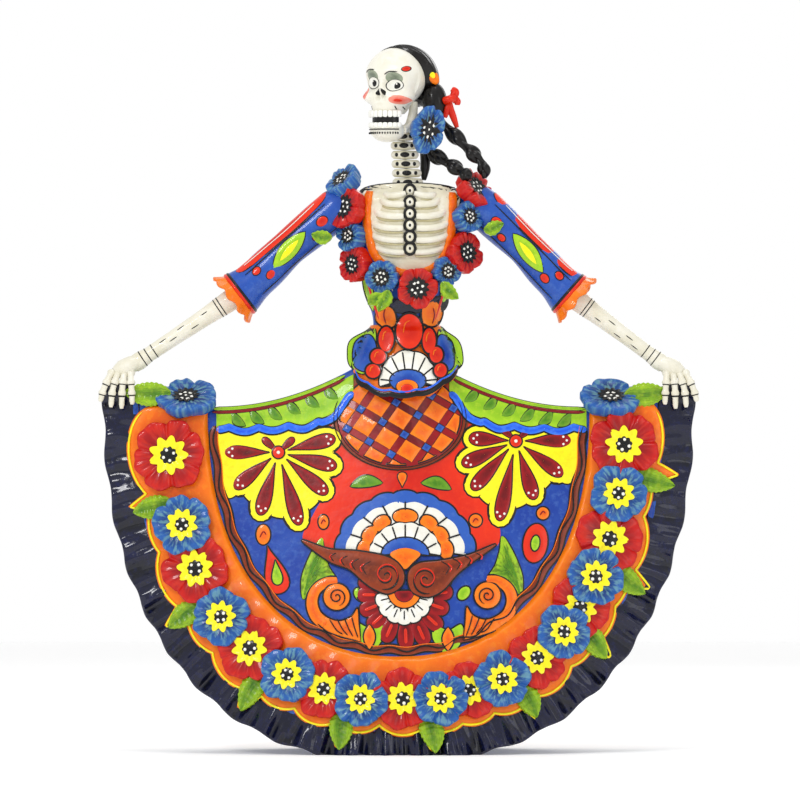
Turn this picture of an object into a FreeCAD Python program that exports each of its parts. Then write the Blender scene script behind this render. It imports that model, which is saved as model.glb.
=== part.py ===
import FreeCAD, Part
import os
from math import sin, cos, pi, radians, exp

V = FreeCAD.Vector
os.makedirs("parts", exist_ok=True)

# Glazed earthenware catrina dancer, standing on the hem of her spread skirt.
# Millimetres, +Z up, front towards -Y, floor at Z = 0, mid-plane of the skirt at X = Y = 0.

# ---- skirt
SKIRT_HALF_W = 209.0       # mid-plane to the outermost point of the hem
WAIST_Z = 272.0            # floor to the waist line
WAIST_HALF_W = 30.0
BASE_DEPTH = 72.0          # front hem to mid-plane, on the floor
SWELL_SIDE = 1.2           # how the skirt's depth falls off towards its two sides
SWELL_UP = 0.85            # and up towards the fold
WALL = 5.0                 # clay slab, measured front to back
WAIST_BULGE = 12.0         # extra depth where the skirt leaves the waist
BULGE_W = 22.0
BULGE_SHARE = 0.15         # share of the height over which that extra depth fades
FOLD_SAG = 28.0            # how far the top fold hangs between waist and hand
FOLD_LOW_X = 128.0         # where the fold hangs lowest
FOLD_RISE = 17.0           # lift of the fold from there to the hand
FOLD_CREST_IN = 3.0        # the fold's crest, in from the outermost point of the hem
HEM_SIDE_DROP = 15.0       # below the waist, where the hem runs straight up and down
HEM_SINK = 4.5             # hem drawn this far under the floor, then cut level
HEM_POWER = 2.35           # 2 is an ellipse, more is squarer
GARLAND_SIDE_W = 75.0      # flower garland, from its inner edge to the hem at the side
GARLAND_FOOT_W = 70.0      # and from the floor at the foot
BORDER_SIDE_DROP = 34.0    # below the waist, where the garland's inner edge runs straight up
BORDER_POWER = 2.2
PANEL_REACH = 0.72         # share of the garland's width that the plain panel covers
BAND_REACH = 0.68          # share that the strip under the flowers covers
BAND_T = 3.0
RUFFLE_WAVES = 46
RUFFLE_AMP = 2.2
RUFFLE_FADE = 0.12         # share of the garland's width over which the ripple grows
RUFFLE_T = 3.5
SEAM = 0.06                # joint between two luted pieces
# ---- flowers
FLOWER_H = 6.5
LOW_FLOWER_H = 5.0         # the blues, which the reds overlap
FLOWER_FOOT = 3.0          # clay below the flower's rim, cut to the surface it sits on
LOBES = 5
EYE_SHARE = 0.30           # eye to flower radius
EYE_H = 2.2
LEAF_T = 2.8
LEAF_W = 15.0
LEAF_FOOT = 2.0
GARLAND_DEPTH = 16.0       # thickness of the cutter that seats the flowers on the strip
CORNER_FLOWER_IN = 59.0    # flower on the fold, in from the outermost point of the hem
CORNER_FLOWER_R = 16.5
CORNER_FLOWER_TILT = 38.0
# ---- torso
TORSO_X = 5.0              # the bodice leans this far to one side of the skirt's middle
CHEST_LEAN = 3.0           # and the chest this much further
BODICE_H = 128.0           # waist line to the top of the shoulders
WAIST_PINCH_Z = 32.0       # narrowest place, above the waist line
CHEST_W = 88.0
CHEST_DEPTH = 40.0
PEPLUM_W = 82.0
PEPLUM_DEPTH = 60.0
PEPLUM_DROP = 21.0
PEPLUM_T = 4.0
PEPLUM_SCALLOP = 3.0
NECK_R = 9.5
NECK_BONES = 6
NECK_RISE = 39.0
NECK_LEAN = 4.2            # how far the top bone stands to the side of the lowest
RIBCAGE_DROP = 29.0        # its middle, below the top of the shoulders
RIBCAGE_RX = 27.0
RIBCAGE_RY = 14.8
RIBCAGE_RZ = 31.0
RIBCAGE_SUNK = 8.8         # its middle, behind the front of the chest
RIB_R = 1.9
RIB_PITCH = 9.2
RIB_PAIRS = 5
LINK_RX = 3.6              # breastbone link
LINK_RY = 2.6
LINK_RZ = 4.1
COLLAR_PROUD = 3.0         # collar flowers stand this far off the chest
RED_COLLAR_H = 5.5
BLUE_COLLAR_H = 4.5
COLLAR_EYE_SHARE = 0.36
# ---- arms
SHOULDER_DROP = 15.0       # below the top of the bodice
SHOULDER_OUT = 8.0         # beyond half the chest
SLEEVE_R = 13.0
SLEEVE_SUNK = 10.0         # the sleeve starts this far inside the shoulder
CUFF_R = 19.0
CUFF_T = 9.0
CUFF_LOBES = 9
FOREARM_R = 7.0
HAND_IN = 21.0             # wrist, in from the outermost point of the hem
WRIST_LIFT = 15.0          # wrist, above the fold it holds
PALM_R = 7.0
FINGER_R = 2.7
FINGER_PITCH = 4.2
FINGER_GAP = 0.8           # fingers to the garland strip
# ---- head
HEAD_W = 45.0
HEAD_UP = 33.0             # middle of the head, above the top neck bone
HEAD_OUT = -8.0            # middle of the head, to the side of the torso's middle
HEAD_TURN = -26.0
HAIR_T = 3.0
HAIR_LEAN = 32.0           # slope of the hair line, back from the crown to the ears
HAIR_BUNCH_R = 8.5         # gathered hair behind the ear, where the braids start
HAIR_BUNCH_RISE = 14.0
BRAID_R = 4.6
HAIR_FLOWER_R = 14.0
HAIR_FLOWER_H = 6.0
KNOT_R = 3.6               # ribbon

# Garland flowers: colour, fan angle in degrees from straight down, share of the garland's
# width, radius. Reds lie over the blues.
GARLAND = [
    ("red", -79, 0.42, 25.0), ("blue", -66, 0.40, 20.0), ("red", -57, 0.42, 24.0),
    ("blue", -46, 0.44, 19.0), ("red", -37, 0.44, 23.0), ("blue", -27, 0.44, 18.5),
    ("red", -18, 0.44, 20.0), ("blue", -9, 0.46, 18.0), ("red", 1, 0.44, 21.0),
    ("blue", 10, 0.46, 18.5), ("red", 17, 0.44, 19.0), ("blue", 25, 0.45, 18.5),
    ("red", 34, 0.45, 20.5), ("blue", 42, 0.44, 18.0), ("red", 48, 0.42, 21.0),
    ("blue", 55, 0.40, 18.5), ("red", 63, 0.38, 23.5), ("blue", 72, 0.36, 19.5),
    ("red", 83, 0.36, 25.0),
]
# Leaves: fan angle, share of the garland's width at the stalk end, length
LEAVES = [
    (-86, 0.40, 24.0), (-71, 0.55, 22.0), (-51, 0.60, 24.0), (-32, 0.60, 25.0),
    (-12, 0.64, 24.0), (7, 0.64, 24.0), (28, 0.62, 22.0), (45, 0.62, 22.0),
    (58, 0.56, 26.0), (76, 0.50, 28.0), (88, 0.40, 20.0),
]
# Collar flowers: colour, place across the chest in half chest widths, height over the top of
# the bodice, radius, upward tilt
COLLAR = [
    ("blue", -1.05, 3.0, 13.0, 0.9), ("red", -1.0, -15.0, 15.0, 0.2),
    ("blue", -0.93, -35.0, 11.0, 0.1), ("red", -0.86, -55.0, 13.0, 0.0),
    ("blue", -0.43, -64.0, 12.0, -0.1), ("red", 0.11, -72.0, 14.5, 0.0),
    ("blue", 0.57, -60.0, 10.5, 0.0), ("red", 0.86, -47.0, 14.5, 0.1),
    ("blue", 0.91, -22.0, 11.0, 0.2), ("red", 1.02, -2.0, 14.5, 0.6),
]
# Fingers: spread at the tip and drop, for the four that lie in front of the fold
FINGERS = [(-2.5, 29.0), (5.0, 32.0), (12.5, 31.0), (20.0, 27.0)]
# Braids, from the hair flower down: over the torso's middle, and over the top of the bodice
OUTER_BRAID = [(22, 6, 48), (31, 0, 40), (41, -6, 30), (49, -10, 22), (55, -12, 14), (56, -12, 6)]
INNER_BRAID = [(13, 11, 32), (19, 4, 24), (28, -2, 18), (36, -9, 13), (42, -15, 9), (45, -19, 6)]


def blend(a, b, k):
    return a + (b - a) * k


def fold_z(x):
    # height of the fold where front and back of the skirt meet, at distance x from the middle
    a = abs(x)
    low = WAIST_Z - FOLD_SAG
    if a < FOLD_LOW_X:
        return low + FOLD_SAG * ((FOLD_LOW_X - a) / (FOLD_LOW_X - WAIST_HALF_W)) ** 2
    run = SKIRT_HALF_W - FOLD_CREST_IN - FOLD_LOW_X
    return low + FOLD_RISE * 0.5 * (1 - cos(pi * (a - FOLD_LOW_X) / run))


def depth(x, z):
    # outer face of the front panel, as a distance in front of the mid-plane
    s = min(1.0, max(0.0, (fold_z(x) - z) / fold_z(x)))
    u = min(1.0, abs(x) / (SKIRT_HALF_W + 3))
    swell = (BASE_DEPTH - WALL) * (1 - u * u) ** SWELL_SIDE * s ** SWELL_UP
    bulge = WAIST_BULGE * exp(-(x / BULGE_W) ** 2 - s / BULGE_SHARE)
    return WALL + swell + bulge


def oval(t, half_w, side_z, drop, power):
    k = (abs(sin(t)) ** power + abs(cos(t)) ** power) ** (-1 / power)
    return half_w * k * sin(t), side_z - drop * k * cos(t)


def ring_point(t, w):
    # t: fan angle from straight down; w: 0 on the garland's inner edge, 1 on the hem
    border_side = WAIST_Z - BORDER_SIDE_DROP
    hem_side = WAIST_Z - HEM_SIDE_DROP
    ax, az = oval(t, SKIRT_HALF_W - GARLAND_SIDE_W, border_side, border_side - GARLAND_FOOT_W,
                  BORDER_POWER)
    bx, bz = oval(t, SKIRT_HALF_W, hem_side, hem_side + HEM_SINK, HEM_POWER)
    x, z = blend(ax, bx, w), blend(az, bz, w)
    # the two ends are lifted to the fold
    return x, z + abs(sin(t)) ** 24 * (fold_z(x) - blend(border_side, hem_side, w))


def panel_point(t, v):
    # t as above; v: 0 on the waist line, 1 on the plain panel's edge, behind the ruffle
    hx, hz = ring_point(t, PANEL_REACH)
    wx = WAIST_HALF_W * sin(t)
    x, z = blend(wx, hx, v), blend(WAIST_Z, hz, v)
    straight = blend(WAIST_Z, ring_point(pi / 2, PANEL_REACH)[1], v)
    return x, z + abs(sin(t)) ** 10 * (fold_z(x) - straight)


def sheet(point, t_steps, v0, v1, v_steps, lift, thick, wave=None):
    # slab whose outer face stands `lift` in front of the panel's outer face
    rows = []
    for j in range(v_steps + 1):
        v = blend(v0, v1, j / v_steps)
        row = []
        for i in range(t_steps + 1):
            t = blend(-pi / 2, pi / 2, i / t_steps)
            x, z = point(t, v)
            w = wave(t, v) if wave else 0.0
            row.append(V(x, -depth(x, z) - lift + w, z))
        rows.append(row)
    surface = Part.BSplineSurface()
    surface.interpolate(rows)
    return surface.toShape().extrude(V(0, thick, 0))


def above_floor(shape):
    size = 4 * SKIRT_HALF_W
    room = Part.makeBox(size, size, size, V(-size / 2, -size / 2, 0))
    return shape.common(room)


def ruffle_wave(t, w):
    grow = min(1.0, max(0.0, (w - PANEL_REACH) / RUFFLE_FADE))
    fade = max(0.0, cos(t)) ** 0.5
    return RUFFLE_AMP * grow * fade * sin(RUFFLE_WAVES * t)


def to_back(shape):
    return shape.mirror(V(0, 0, 0), V(0, 1, 0))


def lobed_wire(r, z, lobes, wobble, turn=0.0):
    count = lobes * 6
    pts = []
    for i in range(count):
        a = 2 * pi * i / count
        k = r * (1 - wobble * 0.5 * (1 - cos(lobes * a)))
        pts.append(V(k * cos(a + turn), k * sin(a + turn), z))
    curve = Part.BSplineCurve()
    curve.interpolate(Points=pts, PeriodicFlag=True)
    return Part.Wire(curve.toShape())


def blossom(r, h, turn=0.0):
    # lobed flower lying on the plane Z = 0, with its foot below it: radius, height, lobe depth
    rows = [(r * 0.80, -FLOWER_FOOT, 0.10), (r * 0.96, 0.2 * h, 0.16), (r, 0.6 * h, 0.18),
            (r * 0.86, h, 0.16)]
    return Part.makeLoft([lobed_wire(a, z, LOBES, wobble, turn) for a, z, wobble in rows], True, False)


def dome(r, h):
    ball_r = (r * r + h * h) / (2 * h)
    ball = Part.makeSphere(ball_r, V(0, 0, h - ball_r))
    return ball.common(Part.makeCylinder(r, h, V(0, 0, 0)))


def leaf(length, width):
    # pointed leaf lying on Z = 0 along +X
    rise = width / 2
    bend = 0.45 * length
    side_a = Part.Arc(V(0, 0, 0), V(bend, rise, 0), V(length, 0, 0)).toShape()
    side_b = Part.Arc(V(length, 0, 0), V(bend, -rise, 0), V(0, 0, 0)).toShape()
    face = Part.Face(Part.Wire([side_a, side_b]))
    face.translate(V(0, 0, -LEAF_FOOT))
    return face.extrude(V(0, 0, LEAF_FOOT + LEAF_T))


def seat(x, z, lift, spin=0.0):
    # placement whose +Z leaves the front of the skirt at (x, z); +X lies at `spin` in the face
    e = 0.5
    slope_x = (depth(x + e, z) - depth(x - e, z)) / (2 * e)
    slope_z = (depth(x, z + e) - depth(x, z - e)) / (2 * e)
    normal = V(-slope_x, -1, -slope_z)
    normal.normalize()
    across = V(cos(spin), 0, sin(spin))
    across = across - normal * across.dot(normal)
    across.normalize()
    up = normal.cross(across)
    turn = FreeCAD.Rotation(across, up, normal, "ZXY")
    return FreeCAD.Placement(V(x, -depth(x, z) - lift, z), turn)


def place(shape, placement):
    out = shape.copy()
    out.Placement = placement.multiply(out.Placement)
    return out


def biggest(shape):
    return max(shape.Solids, key=lambda s: s.Volume)


def clear_of(shape, others):
    # the shape trimmed where it would run into its neighbours
    for other in others:
        if shape.BoundBox.intersect(other.BoundBox):
            shape = shape.cut(other)
    return shape


def ellipsoid(cx, cy, cz, rx, ry, rz):
    m = FreeCAD.Matrix()
    m.scale(rx, ry, rz)
    m.move(V(cx, cy, cz))
    return Part.makeSphere(1.0).transformGeometry(m)


def disc(p, d, r):
    # circle at p, square to d
    edge = Part.makeCircle(r, V(0, 0, 0), V(0, 0, 1))
    edge.Placement = FreeCAD.Placement(p, FreeCAD.Rotation(V(0, 0, 1), d))
    return Part.Wire(edge)


def limb(points, radii):
    # round bar through the points, with a radius at each
    wires = []
    last = len(points) - 1
    for i, p in enumerate(points):
        d = points[min(i + 1, last)] - points[max(i - 1, 0)]
        wires.append(disc(p, d, radii[i]))
    return Part.makeLoft(wires, True, False)


# ------------------------------------------------------------------ skirt
def make_skirt():
    panel = above_floor(sheet(panel_point, 44, 0.0, 1.0, 14, 0.0, WALL - SEAM))
    band = above_floor(sheet(ring_point, 56, 0.02, BAND_REACH, 5, BAND_T + SEAM, BAND_T))
    ruffle = above_floor(sheet(ring_point, RUFFLE_WAVES * 5, PANEL_REACH + 0.004, 1.0, 4, 0.3,
                               RUFFLE_T, ruffle_wave))
    return panel, band, ruffle


def seat_tool():
    # everything behind the garland band's front face
    return sheet(ring_point, 56, -0.15, 1.12, 6, BAND_T + 2 * SEAM, GARLAND_DEPTH)


def make_garland(tool):
    lift = BAND_T + 2 * SEAM
    placed = []
    for colour, deg, w, r in GARLAND:
        x, z = ring_point(radians(deg), w)
        high = colour == "red"
        h = FLOWER_H if high else LOW_FLOWER_H
        spot = seat(x, z, lift, radians(deg))
        body = place(blossom(r, h, 0.3 + deg * 0.05), spot)
        eye = place(dome(r * EYE_SHARE, EYE_H), spot)
        eye.translate(spot.Rotation.multVec(V(0, 0, h + SEAM)))
        placed.append([colour, body.cut(tool), eye])
    for i, (colour, body, eye) in enumerate(placed):
        if colour == "blue":
            for near in (i - 1, i + 1):
                if 0 <= near < len(placed):
                    body = body.cut(placed[near][1])
            placed[i][1] = biggest(body)
    leaves = []
    for deg, w, length in LEAVES:
        x, z = ring_point(radians(deg), w)
        out = radians(deg) - pi / 2
        piece = place(leaf(length, LEAF_W), seat(x, z, lift, out)).cut(tool)
        piece = clear_of(piece, [body for colour, body, eye in placed])
        leaves.append(above_floor(biggest(piece)))
    return placed, leaves


def make_corner_flower(side, blockers):
    x = side * (SKIRT_HALF_W - CORNER_FLOWER_IN)
    tilt = FreeCAD.Rotation(V(1, 0, 0), CORNER_FLOWER_TILT)
    spot = FreeCAD.Placement(V(x, -WALL, fold_z(x) + 2.0), tilt)
    body = place(blossom(CORNER_FLOWER_R, FLOWER_H), spot)
    body = clear_of(body, blockers)
    eye = place(dome(CORNER_FLOWER_R * EYE_SHARE, EYE_H), spot)
    eye.translate(tilt.multVec(V(0, 0, FLOWER_H + SEAM)))
    return biggest(body), eye


# ------------------------------------------------------------------ torso
def torso_section(z):
    # centre x, half width and half depth of the bodice, z above the waist line
    top = BODICE_H
    lean = CHEST_LEAN
    rows = [(0.0, 0.0, 0.60, 0.66), (WAIST_PINCH_Z, 0.0, 0.53, 0.80),
            (top - 72.0, lean / 2, 0.68, 0.95), (top - 48.0, lean, 0.86, 1.05),
            (top - 25.0, lean, 1.00, 1.05), (top - 9.0, lean, 1.02, 0.95), (top, lean, 0.72, 0.70)]
    lo, hi = rows[0], rows[1]
    for a, b in zip(rows, rows[1:]):
        if z >= a[0]:
            lo, hi = a, b
    k = min(1.0, max(0.0, (z - lo[0]) / (hi[0] - lo[0])))
    k = k * k * (3 - 2 * k)
    shift, wide, deep = [blend(a, b, k) for a, b in zip(lo[1:], hi[1:])]
    return TORSO_X + shift, wide * CHEST_W / 2, deep * CHEST_DEPTH / 2


def ellipse_wire(cx, cy, z, rx, ry):
    pts = [V(cx + rx * cos(2 * pi * i / 24), cy + ry * sin(2 * pi * i / 24), z) for i in range(24)]
    curve = Part.BSplineCurve()
    curve.interpolate(Points=pts, PeriodicFlag=True)
    return Part.Wire(curve.toShape())


def make_bodice():
    heights = [2 * SEAM, WAIST_PINCH_Z / 2, WAIST_PINCH_Z]
    heights += [BODICE_H - d for d in (84.0, 72.0, 60.0, 48.0, 36.0, 25.0, 16.0, 9.0, 0.0)]
    wires = []
    for z in heights:
        cx, rx, ry = torso_section(z)
        wires.append(ellipse_wire(cx, 0, WAIST_Z + z, rx, ry))
    return Part.makeLoft(wires, True, False)


def make_peplum():
    cx, rx, ry = torso_section(WAIST_PINCH_Z)
    top = WAIST_Z + WAIST_PINCH_Z - 2
    rows = [(top, rx + 1.5, ry + 1.5), (top - 14, rx + 8, ry + 6),
            (WAIST_Z, PEPLUM_W / 2 - 2, PEPLUM_DEPTH / 2 - 4),
            (WAIST_Z - PEPLUM_DROP - 3, PEPLUM_W / 2, PEPLUM_DEPTH / 2)]
    outer = Part.makeLoft([ellipse_wire(cx, 0, z, a, b) for z, a, b in rows], True, False)
    inner = Part.makeLoft([ellipse_wire(cx, 0, z, a - PEPLUM_T, b - PEPLUM_T) for z, a, b in rows],
                          True, False)
    # the scalloped lower edge is drawn in the front view, and rises over the skirt's fold
    low = WAIST_Z - PEPLUM_DROP
    half = PEPLUM_W / 2 + 3
    rise = [(0.15, low + 1), (0.44, low + 4), (0.72, low + 9), (1.0, WAIST_Z + 1)]
    pts = [V(cx - half * k, 0, z) for k, z in reversed(rise)]
    pts += [V(cx + half * k, 0, z) for k, z in rise]
    edges = []
    for a, b in zip(pts, pts[1:]):
        mid = (a + b) * 0.5 + V(0, 0, -PEPLUM_SCALLOP)
        edges.append(Part.Arc(a, mid, b).toShape())
    corners = [pts[-1], V(cx + half, 0, top + 30), V(cx - half, 0, top + 30), pts[0]]
    edges += [Part.makeLine(a, b) for a, b in zip(corners, corners[1:])]
    outline = Part.Face(Part.Wire(edges)).extrude(V(0, 2 * PEPLUM_DEPTH, 0))
    outline.translate(V(0, -PEPLUM_DEPTH, 0))
    return outer.cut(inner).common(outline)


def ribcage_front(z):
    # how much of the rib cage's width and depth is left at height z
    middle = WAIST_Z + BODICE_H - RIBCAGE_DROP
    return max(0.05, 1 - ((z - middle) / RIBCAGE_RZ) ** 2) ** 0.5


def make_ribcage(bodice):
    middle = BODICE_H - RIBCAGE_DROP
    cx = torso_section(middle)[0]
    zc = WAIST_Z + middle
    yc = RIBCAGE_SUNK - CHEST_DEPTH / 2
    core = biggest(ellipsoid(cx, yc, zc, RIBCAGE_RX, RIBCAGE_RY, RIBCAGE_RZ).cut(bodice))
    ribs = []
    for side in (-1, 1):
        for i in range(RIB_PAIRS):
            z = zc + RIB_PITCH * ((RIB_PAIRS - 1) / 2 - i)
            pts = []
            for k in range(6):
                a = 0.27 + k * 0.18
                droop = z + 5.0 * a * a - 2.0 * a
                left = ribcage_front(droop)
                pts.append(V(cx + side * RIBCAGE_RX * left * sin(a), yc - RIBCAGE_RY * left * cos(a), droop))
            ribs.append(biggest(limb(pts, [RIB_R] * len(pts)).cut(core)))
    return core, ribs


def make_sternum(ribcage, bodice):
    middle = BODICE_H - RIBCAGE_DROP
    cx = torso_section(middle)[0]
    links = []
    for i in range(RIB_PAIRS):
        z = WAIST_Z + middle + RIB_PITCH * (RIB_PAIRS / 2 - i)
        y = RIBCAGE_SUNK - CHEST_DEPTH / 2 - RIBCAGE_RY * ribcage_front(z) - 0.6
        links.append(ellipsoid(cx, y, z, LINK_RX, LINK_RY, LINK_RZ))
    chain = links[0]
    for link in links[1:]:
        chain = chain.fuse(link)
    return chain.cut(ribcage).cut(bodice)


def make_neck():
    bones = []
    rise = NECK_RISE / NECK_BONES
    for i in range(NECK_BONES):
        z = WAIST_Z + BODICE_H + SEAM + rise * i
        r = NECK_R * (1.0 - 0.035 * i)
        rows = [(0.0, 0.78), (0.25, 1.0), (0.6, 1.0), (0.97, 0.74)]
        bone = Part.makeLoft([lobed_wire(r * k, z + rise * h, 4, 0.14, pi / 4) for h, k in rows],
                             True, False)
        bone.translate(V(TORSO_X + CHEST_LEAN / 2 - NECK_LEAN * i / NECK_BONES, 0.5, 0))
        bones.append(bone)
    return bones


def make_collar(blockers):
    placed = []
    for colour, share, over, r, tip in COLLAR:
        x = TORSO_X + CHEST_LEAN + share * CHEST_W / 2
        cx, rx, ry = torso_section(BODICE_H + over)
        u = max(-0.97, min(0.97, (x - cx) / (rx + COLLAR_PROUD + 1)))
        round_off = (1 - u * u) ** 0.5
        y = -(ry + COLLAR_PROUD) * round_off - 2.0
        rot = FreeCAD.Rotation(V(0, 0, 1), V(u * 0.8, -round_off - 0.35, tip))
        spot = FreeCAD.Placement(V(x, y, WAIST_Z + BODICE_H + over), rot)
        h = RED_COLLAR_H if colour == "red" else BLUE_COLLAR_H
        body = place(blossom(r, h, x * 0.1), spot)
        eye = place(dome(r * COLLAR_EYE_SHARE, EYE_H), spot)
        eye.translate(rot.multVec(V(0, 0, h + SEAM)))
        placed.append([colour, body, eye])
    for i, item in enumerate(placed):
        item[1] = biggest(clear_of(item[1], blockers + [other[1] for other in placed[:i]]))
    for item in placed:
        item[2] = clear_of(item[2], [other[1] for other in placed if other is not item])
    return placed


# ------------------------------------------------------------------ arms
def arm_points(side):
    reach = side * (CHEST_W / 2 + SHOULDER_OUT)
    shoulder = V(TORSO_X + CHEST_LEAN + reach, 0, WAIST_Z + BODICE_H - SHOULDER_DROP)
    hand_x = side * (SKIRT_HALF_W - HAND_IN)
    wrist = V(hand_x, -1.0, fold_z(hand_x) + WRIST_LIFT)
    cuff = V(blend(shoulder.x, wrist.x, 0.46), -2.0, blend(shoulder.z, wrist.z, 0.53))
    return shoulder, cuff, wrist


def make_arm(side, bodice):
    shoulder, cuff, wrist = arm_points(side)
    down = (cuff - shoulder).normalize()
    mid = blend(shoulder, cuff, 0.5) + V(0, 0, 1.5)
    points = [shoulder - down * SLEEVE_SUNK, shoulder, mid, blend(shoulder, cuff, 0.85), cuff]
    sleeve = limb(points, [SLEEVE_R * k for k in (0.9, 1.12, 1.0, 1.08, 1.25)]).cut(bodice)

    aim = (wrist - cuff).normalize()
    rot = FreeCAD.Rotation(V(0, 0, 1), (down + aim).normalize())
    rows = [(SLEEVE_R * 1.2, 0, 0.04), (CUFF_R * 0.92, CUFF_T * 0.5, 0.10), (CUFF_R, CUFF_T, 0.16)]
    cuff_ring = Part.makeLoft([lobed_wire(r, z, CUFF_LOBES, wobble) for r, z, wobble in rows], True, False)
    mouth = cuff + down * 1.5
    cuff_ring.Placement = FreeCAD.Placement(mouth, rot)

    bone_start = mouth + rot.multVec(V(0, 0, CUFF_T - 1.5))
    pts = [blend(bone_start, wrist, k) for k in (0, 0.12, 0.3, 0.6, 0.85, 0.94, 1.0)]
    radii = [FOREARM_R * k for k in (1.12, 1.08, 0.92, 0.78, 0.72, 0.86, 0.80)]
    forearm = biggest(limb(pts, radii).cut(cuff_ring))
    return biggest(sleeve.cut(cuff_ring)), cuff_ring, forearm


def make_hand(side, forearm, blockers):
    wrist = arm_points(side)[2]
    hand = ellipsoid(wrist.x + side * PALM_R, -2.5, wrist.z - 3.0, PALM_R * 1.25, PALM_R * 0.85, PALM_R)
    knuckle_z = wrist.z - 4
    # four fingers lie in front of the garland strip
    y = -WALL - BAND_T - FINGER_R - FINGER_GAP
    for i, (spread, drop) in enumerate(FINGERS):
        root_x = wrist.x + side * (2 + FINGER_PITCH * i)
        tip_x = wrist.x + side * (3 + spread)
        pts = [V(root_x, -4.0, knuckle_z - 1), V(blend(root_x, tip_x, 0.4), y + 1.0, knuckle_z - 6),
               V(blend(root_x, tip_x, 0.8), y, knuckle_z - 14), V(tip_x, y + 0.5, knuckle_z - drop + 6)]
        hand = hand.fuse(limb(pts, [FINGER_R * k for k in (1.1, 1.15, 1.0, 0.75)]))
    # the thumb lies behind the fold
    y = WALL + FINGER_R + FINGER_GAP
    x = wrist.x + side
    pts = [V(x, 0.0, knuckle_z), V(x + side * 2, y, knuckle_z - 6), V(x + side * 3, y, knuckle_z - 18)]
    hand = hand.fuse(limb(pts, [FINGER_R * k for k in (1.2, 1.2, 0.9)]))
    return biggest(clear_of(hand, [forearm] + blockers))


# ------------------------------------------------------------------ head
def head_place(shape):
    out = shape.copy()
    turn = FreeCAD.Rotation(V(0, 0, 1), HEAD_TURN)
    up = WAIST_Z + BODICE_H + NECK_RISE + HEAD_UP
    out.Placement = FreeCAD.Placement(V(TORSO_X + HEAD_OUT, 0, up), turn)
    return out


def make_head():
    # drawn about the middle of the head, facing -Y, in units of a 45 mm wide skull
    k = HEAD_W / 45.0

    def egg(x, y, z, rx, ry, rz):
        return ellipsoid(x * k, y * k, z * k, rx * k, ry * k, rz * k)

    def slab(x, y, z, wide, deep, high):
        return Part.makeBox(wide * k, deep * k, high * k, V((x - wide / 2) * k, y * k, z * k))

    skull = egg(0, 3, 6, 21.5, 25, 21.5).fuse(egg(0, -9, -8, 16.0, 14.5, 16.0))
    for side in (-1, 1):
        skull = skull.fuse(egg(side * 11.5, -14, -7, 5, 5.5, 4))
    for side in (-1, 1):
        skull = skull.cut(egg(side * 8.2, -23.5, 1.0, 6.0, 6.0, 6.2))
    nose = Part.makeCone(3.6 * k, 0.8 * k, 8 * k, V(0, -24.5 * k, -10.5 * k), V(0, 0, 1))
    skull = skull.cut(nose).cut(slab(0, -56, -40.5, 60, 60, 20))

    jaw = egg(0, -11.5, -31.0, 13.0, 13.5, 10.0).fuse(egg(0, -19, -36, 6.5, 5.5, 5.0))
    jaw = jaw.cut(slab(0, -40, -28.4, 60, 60, 20)).fuse(egg(0, 2, -27.0, 12.5, 6.0, 14.0)).cut(skull)

    upper, lower = [], []
    for i in range(-3, 4):
        a = radians(i * 19.0)
        x, y = 12.2 * sin(a), -11.0 - 11.0 * cos(a)
        upper.append(egg(x, y, -20.6, 2.0, 1.6, 2.7).cut(skull))
        lower.append(egg(x, y, -28.4, 1.9, 1.6, 2.4).cut(jaw))

    hair = ellipsoid(3 * k, 8 * k, 4 * k, 22.5 * k + HAIR_T, 25 * k + HAIR_T, 22.5 * k + HAIR_T)
    face = slab(0, -60, -45, 90, 60, 90)
    face.rotate(V(0, 0, 0), V(1, 0, 0), HAIR_LEAN)
    face.translate(V(0, 13.0 * k, 2 * k))
    bunch = ellipsoid(24 * k, 16 * k, -12 * k, HAIR_BUNCH_R, HAIR_BUNCH_R, HAIR_BUNCH_RISE)
    hair = hair.cut(face).cut(slab(0, -45, -54, 90, 90, 40)).fuse(bunch).cut(skull).cut(jaw)
    return [head_place(s) for s in (skull, biggest(jaw), biggest(hair))] + [
        [head_place(s) for s in upper], [head_place(s) for s in lower]]


def make_ribbon(blockers):
    cx, cz = TORSO_X + 31.0, WAIST_Z + BODICE_H + 62.0
    knot = ellipsoid(cx, 1, cz, KNOT_R, KNOT_R, KNOT_R)
    # two loops and a tail
    for dx, dz, ax, az in ((3, 7, 5.0, 7.5), (6, -1, 7.0, 4.0), (2, -10, 3.4, 10.0)):
        knot = knot.fuse(ellipsoid(cx + dx, 1, cz + dz, ax, 3.0, az))
    tie = limb([V(cx, 1, cz), V(cx - 9, 1, cz - 1), V(cx - 15, 1, cz - 2)], [3.0, 3.0, 3.0])
    return biggest(clear_of(knot.fuse(tie), blockers))


def make_hair_flower(blockers):
    rot = FreeCAD.Rotation(V(0, 0, 1), V(0.45, -1, 0.05))
    spot = FreeCAD.Placement(V(TORSO_X + 14.5, -12.5, WAIST_Z + BODICE_H + 40.0), rot)
    body = clear_of(place(blossom(HAIR_FLOWER_R, HAIR_FLOWER_H), spot), blockers)
    eye = place(dome(HAIR_FLOWER_R / 3, EYE_H), spot)
    eye.translate(rot.multVec(V(0, 0, HAIR_FLOWER_H + SEAM)))
    return biggest(body), eye


def make_braid(points, blockers):
    path = [V(TORSO_X + x, y, WAIST_Z + BODICE_H + z) for x, y, z in points]
    rope = limb(path, [BRAID_R * k for k in (0.9, 1.05, 1.0, 1.05, 0.9, 0.7)])
    return biggest(clear_of(rope, blockers))


def save(name, shape):
    if isinstance(shape, list):
        shape = Part.makeCompound(shape)
    shape.exportStep("parts/" + name + ".step")


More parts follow.
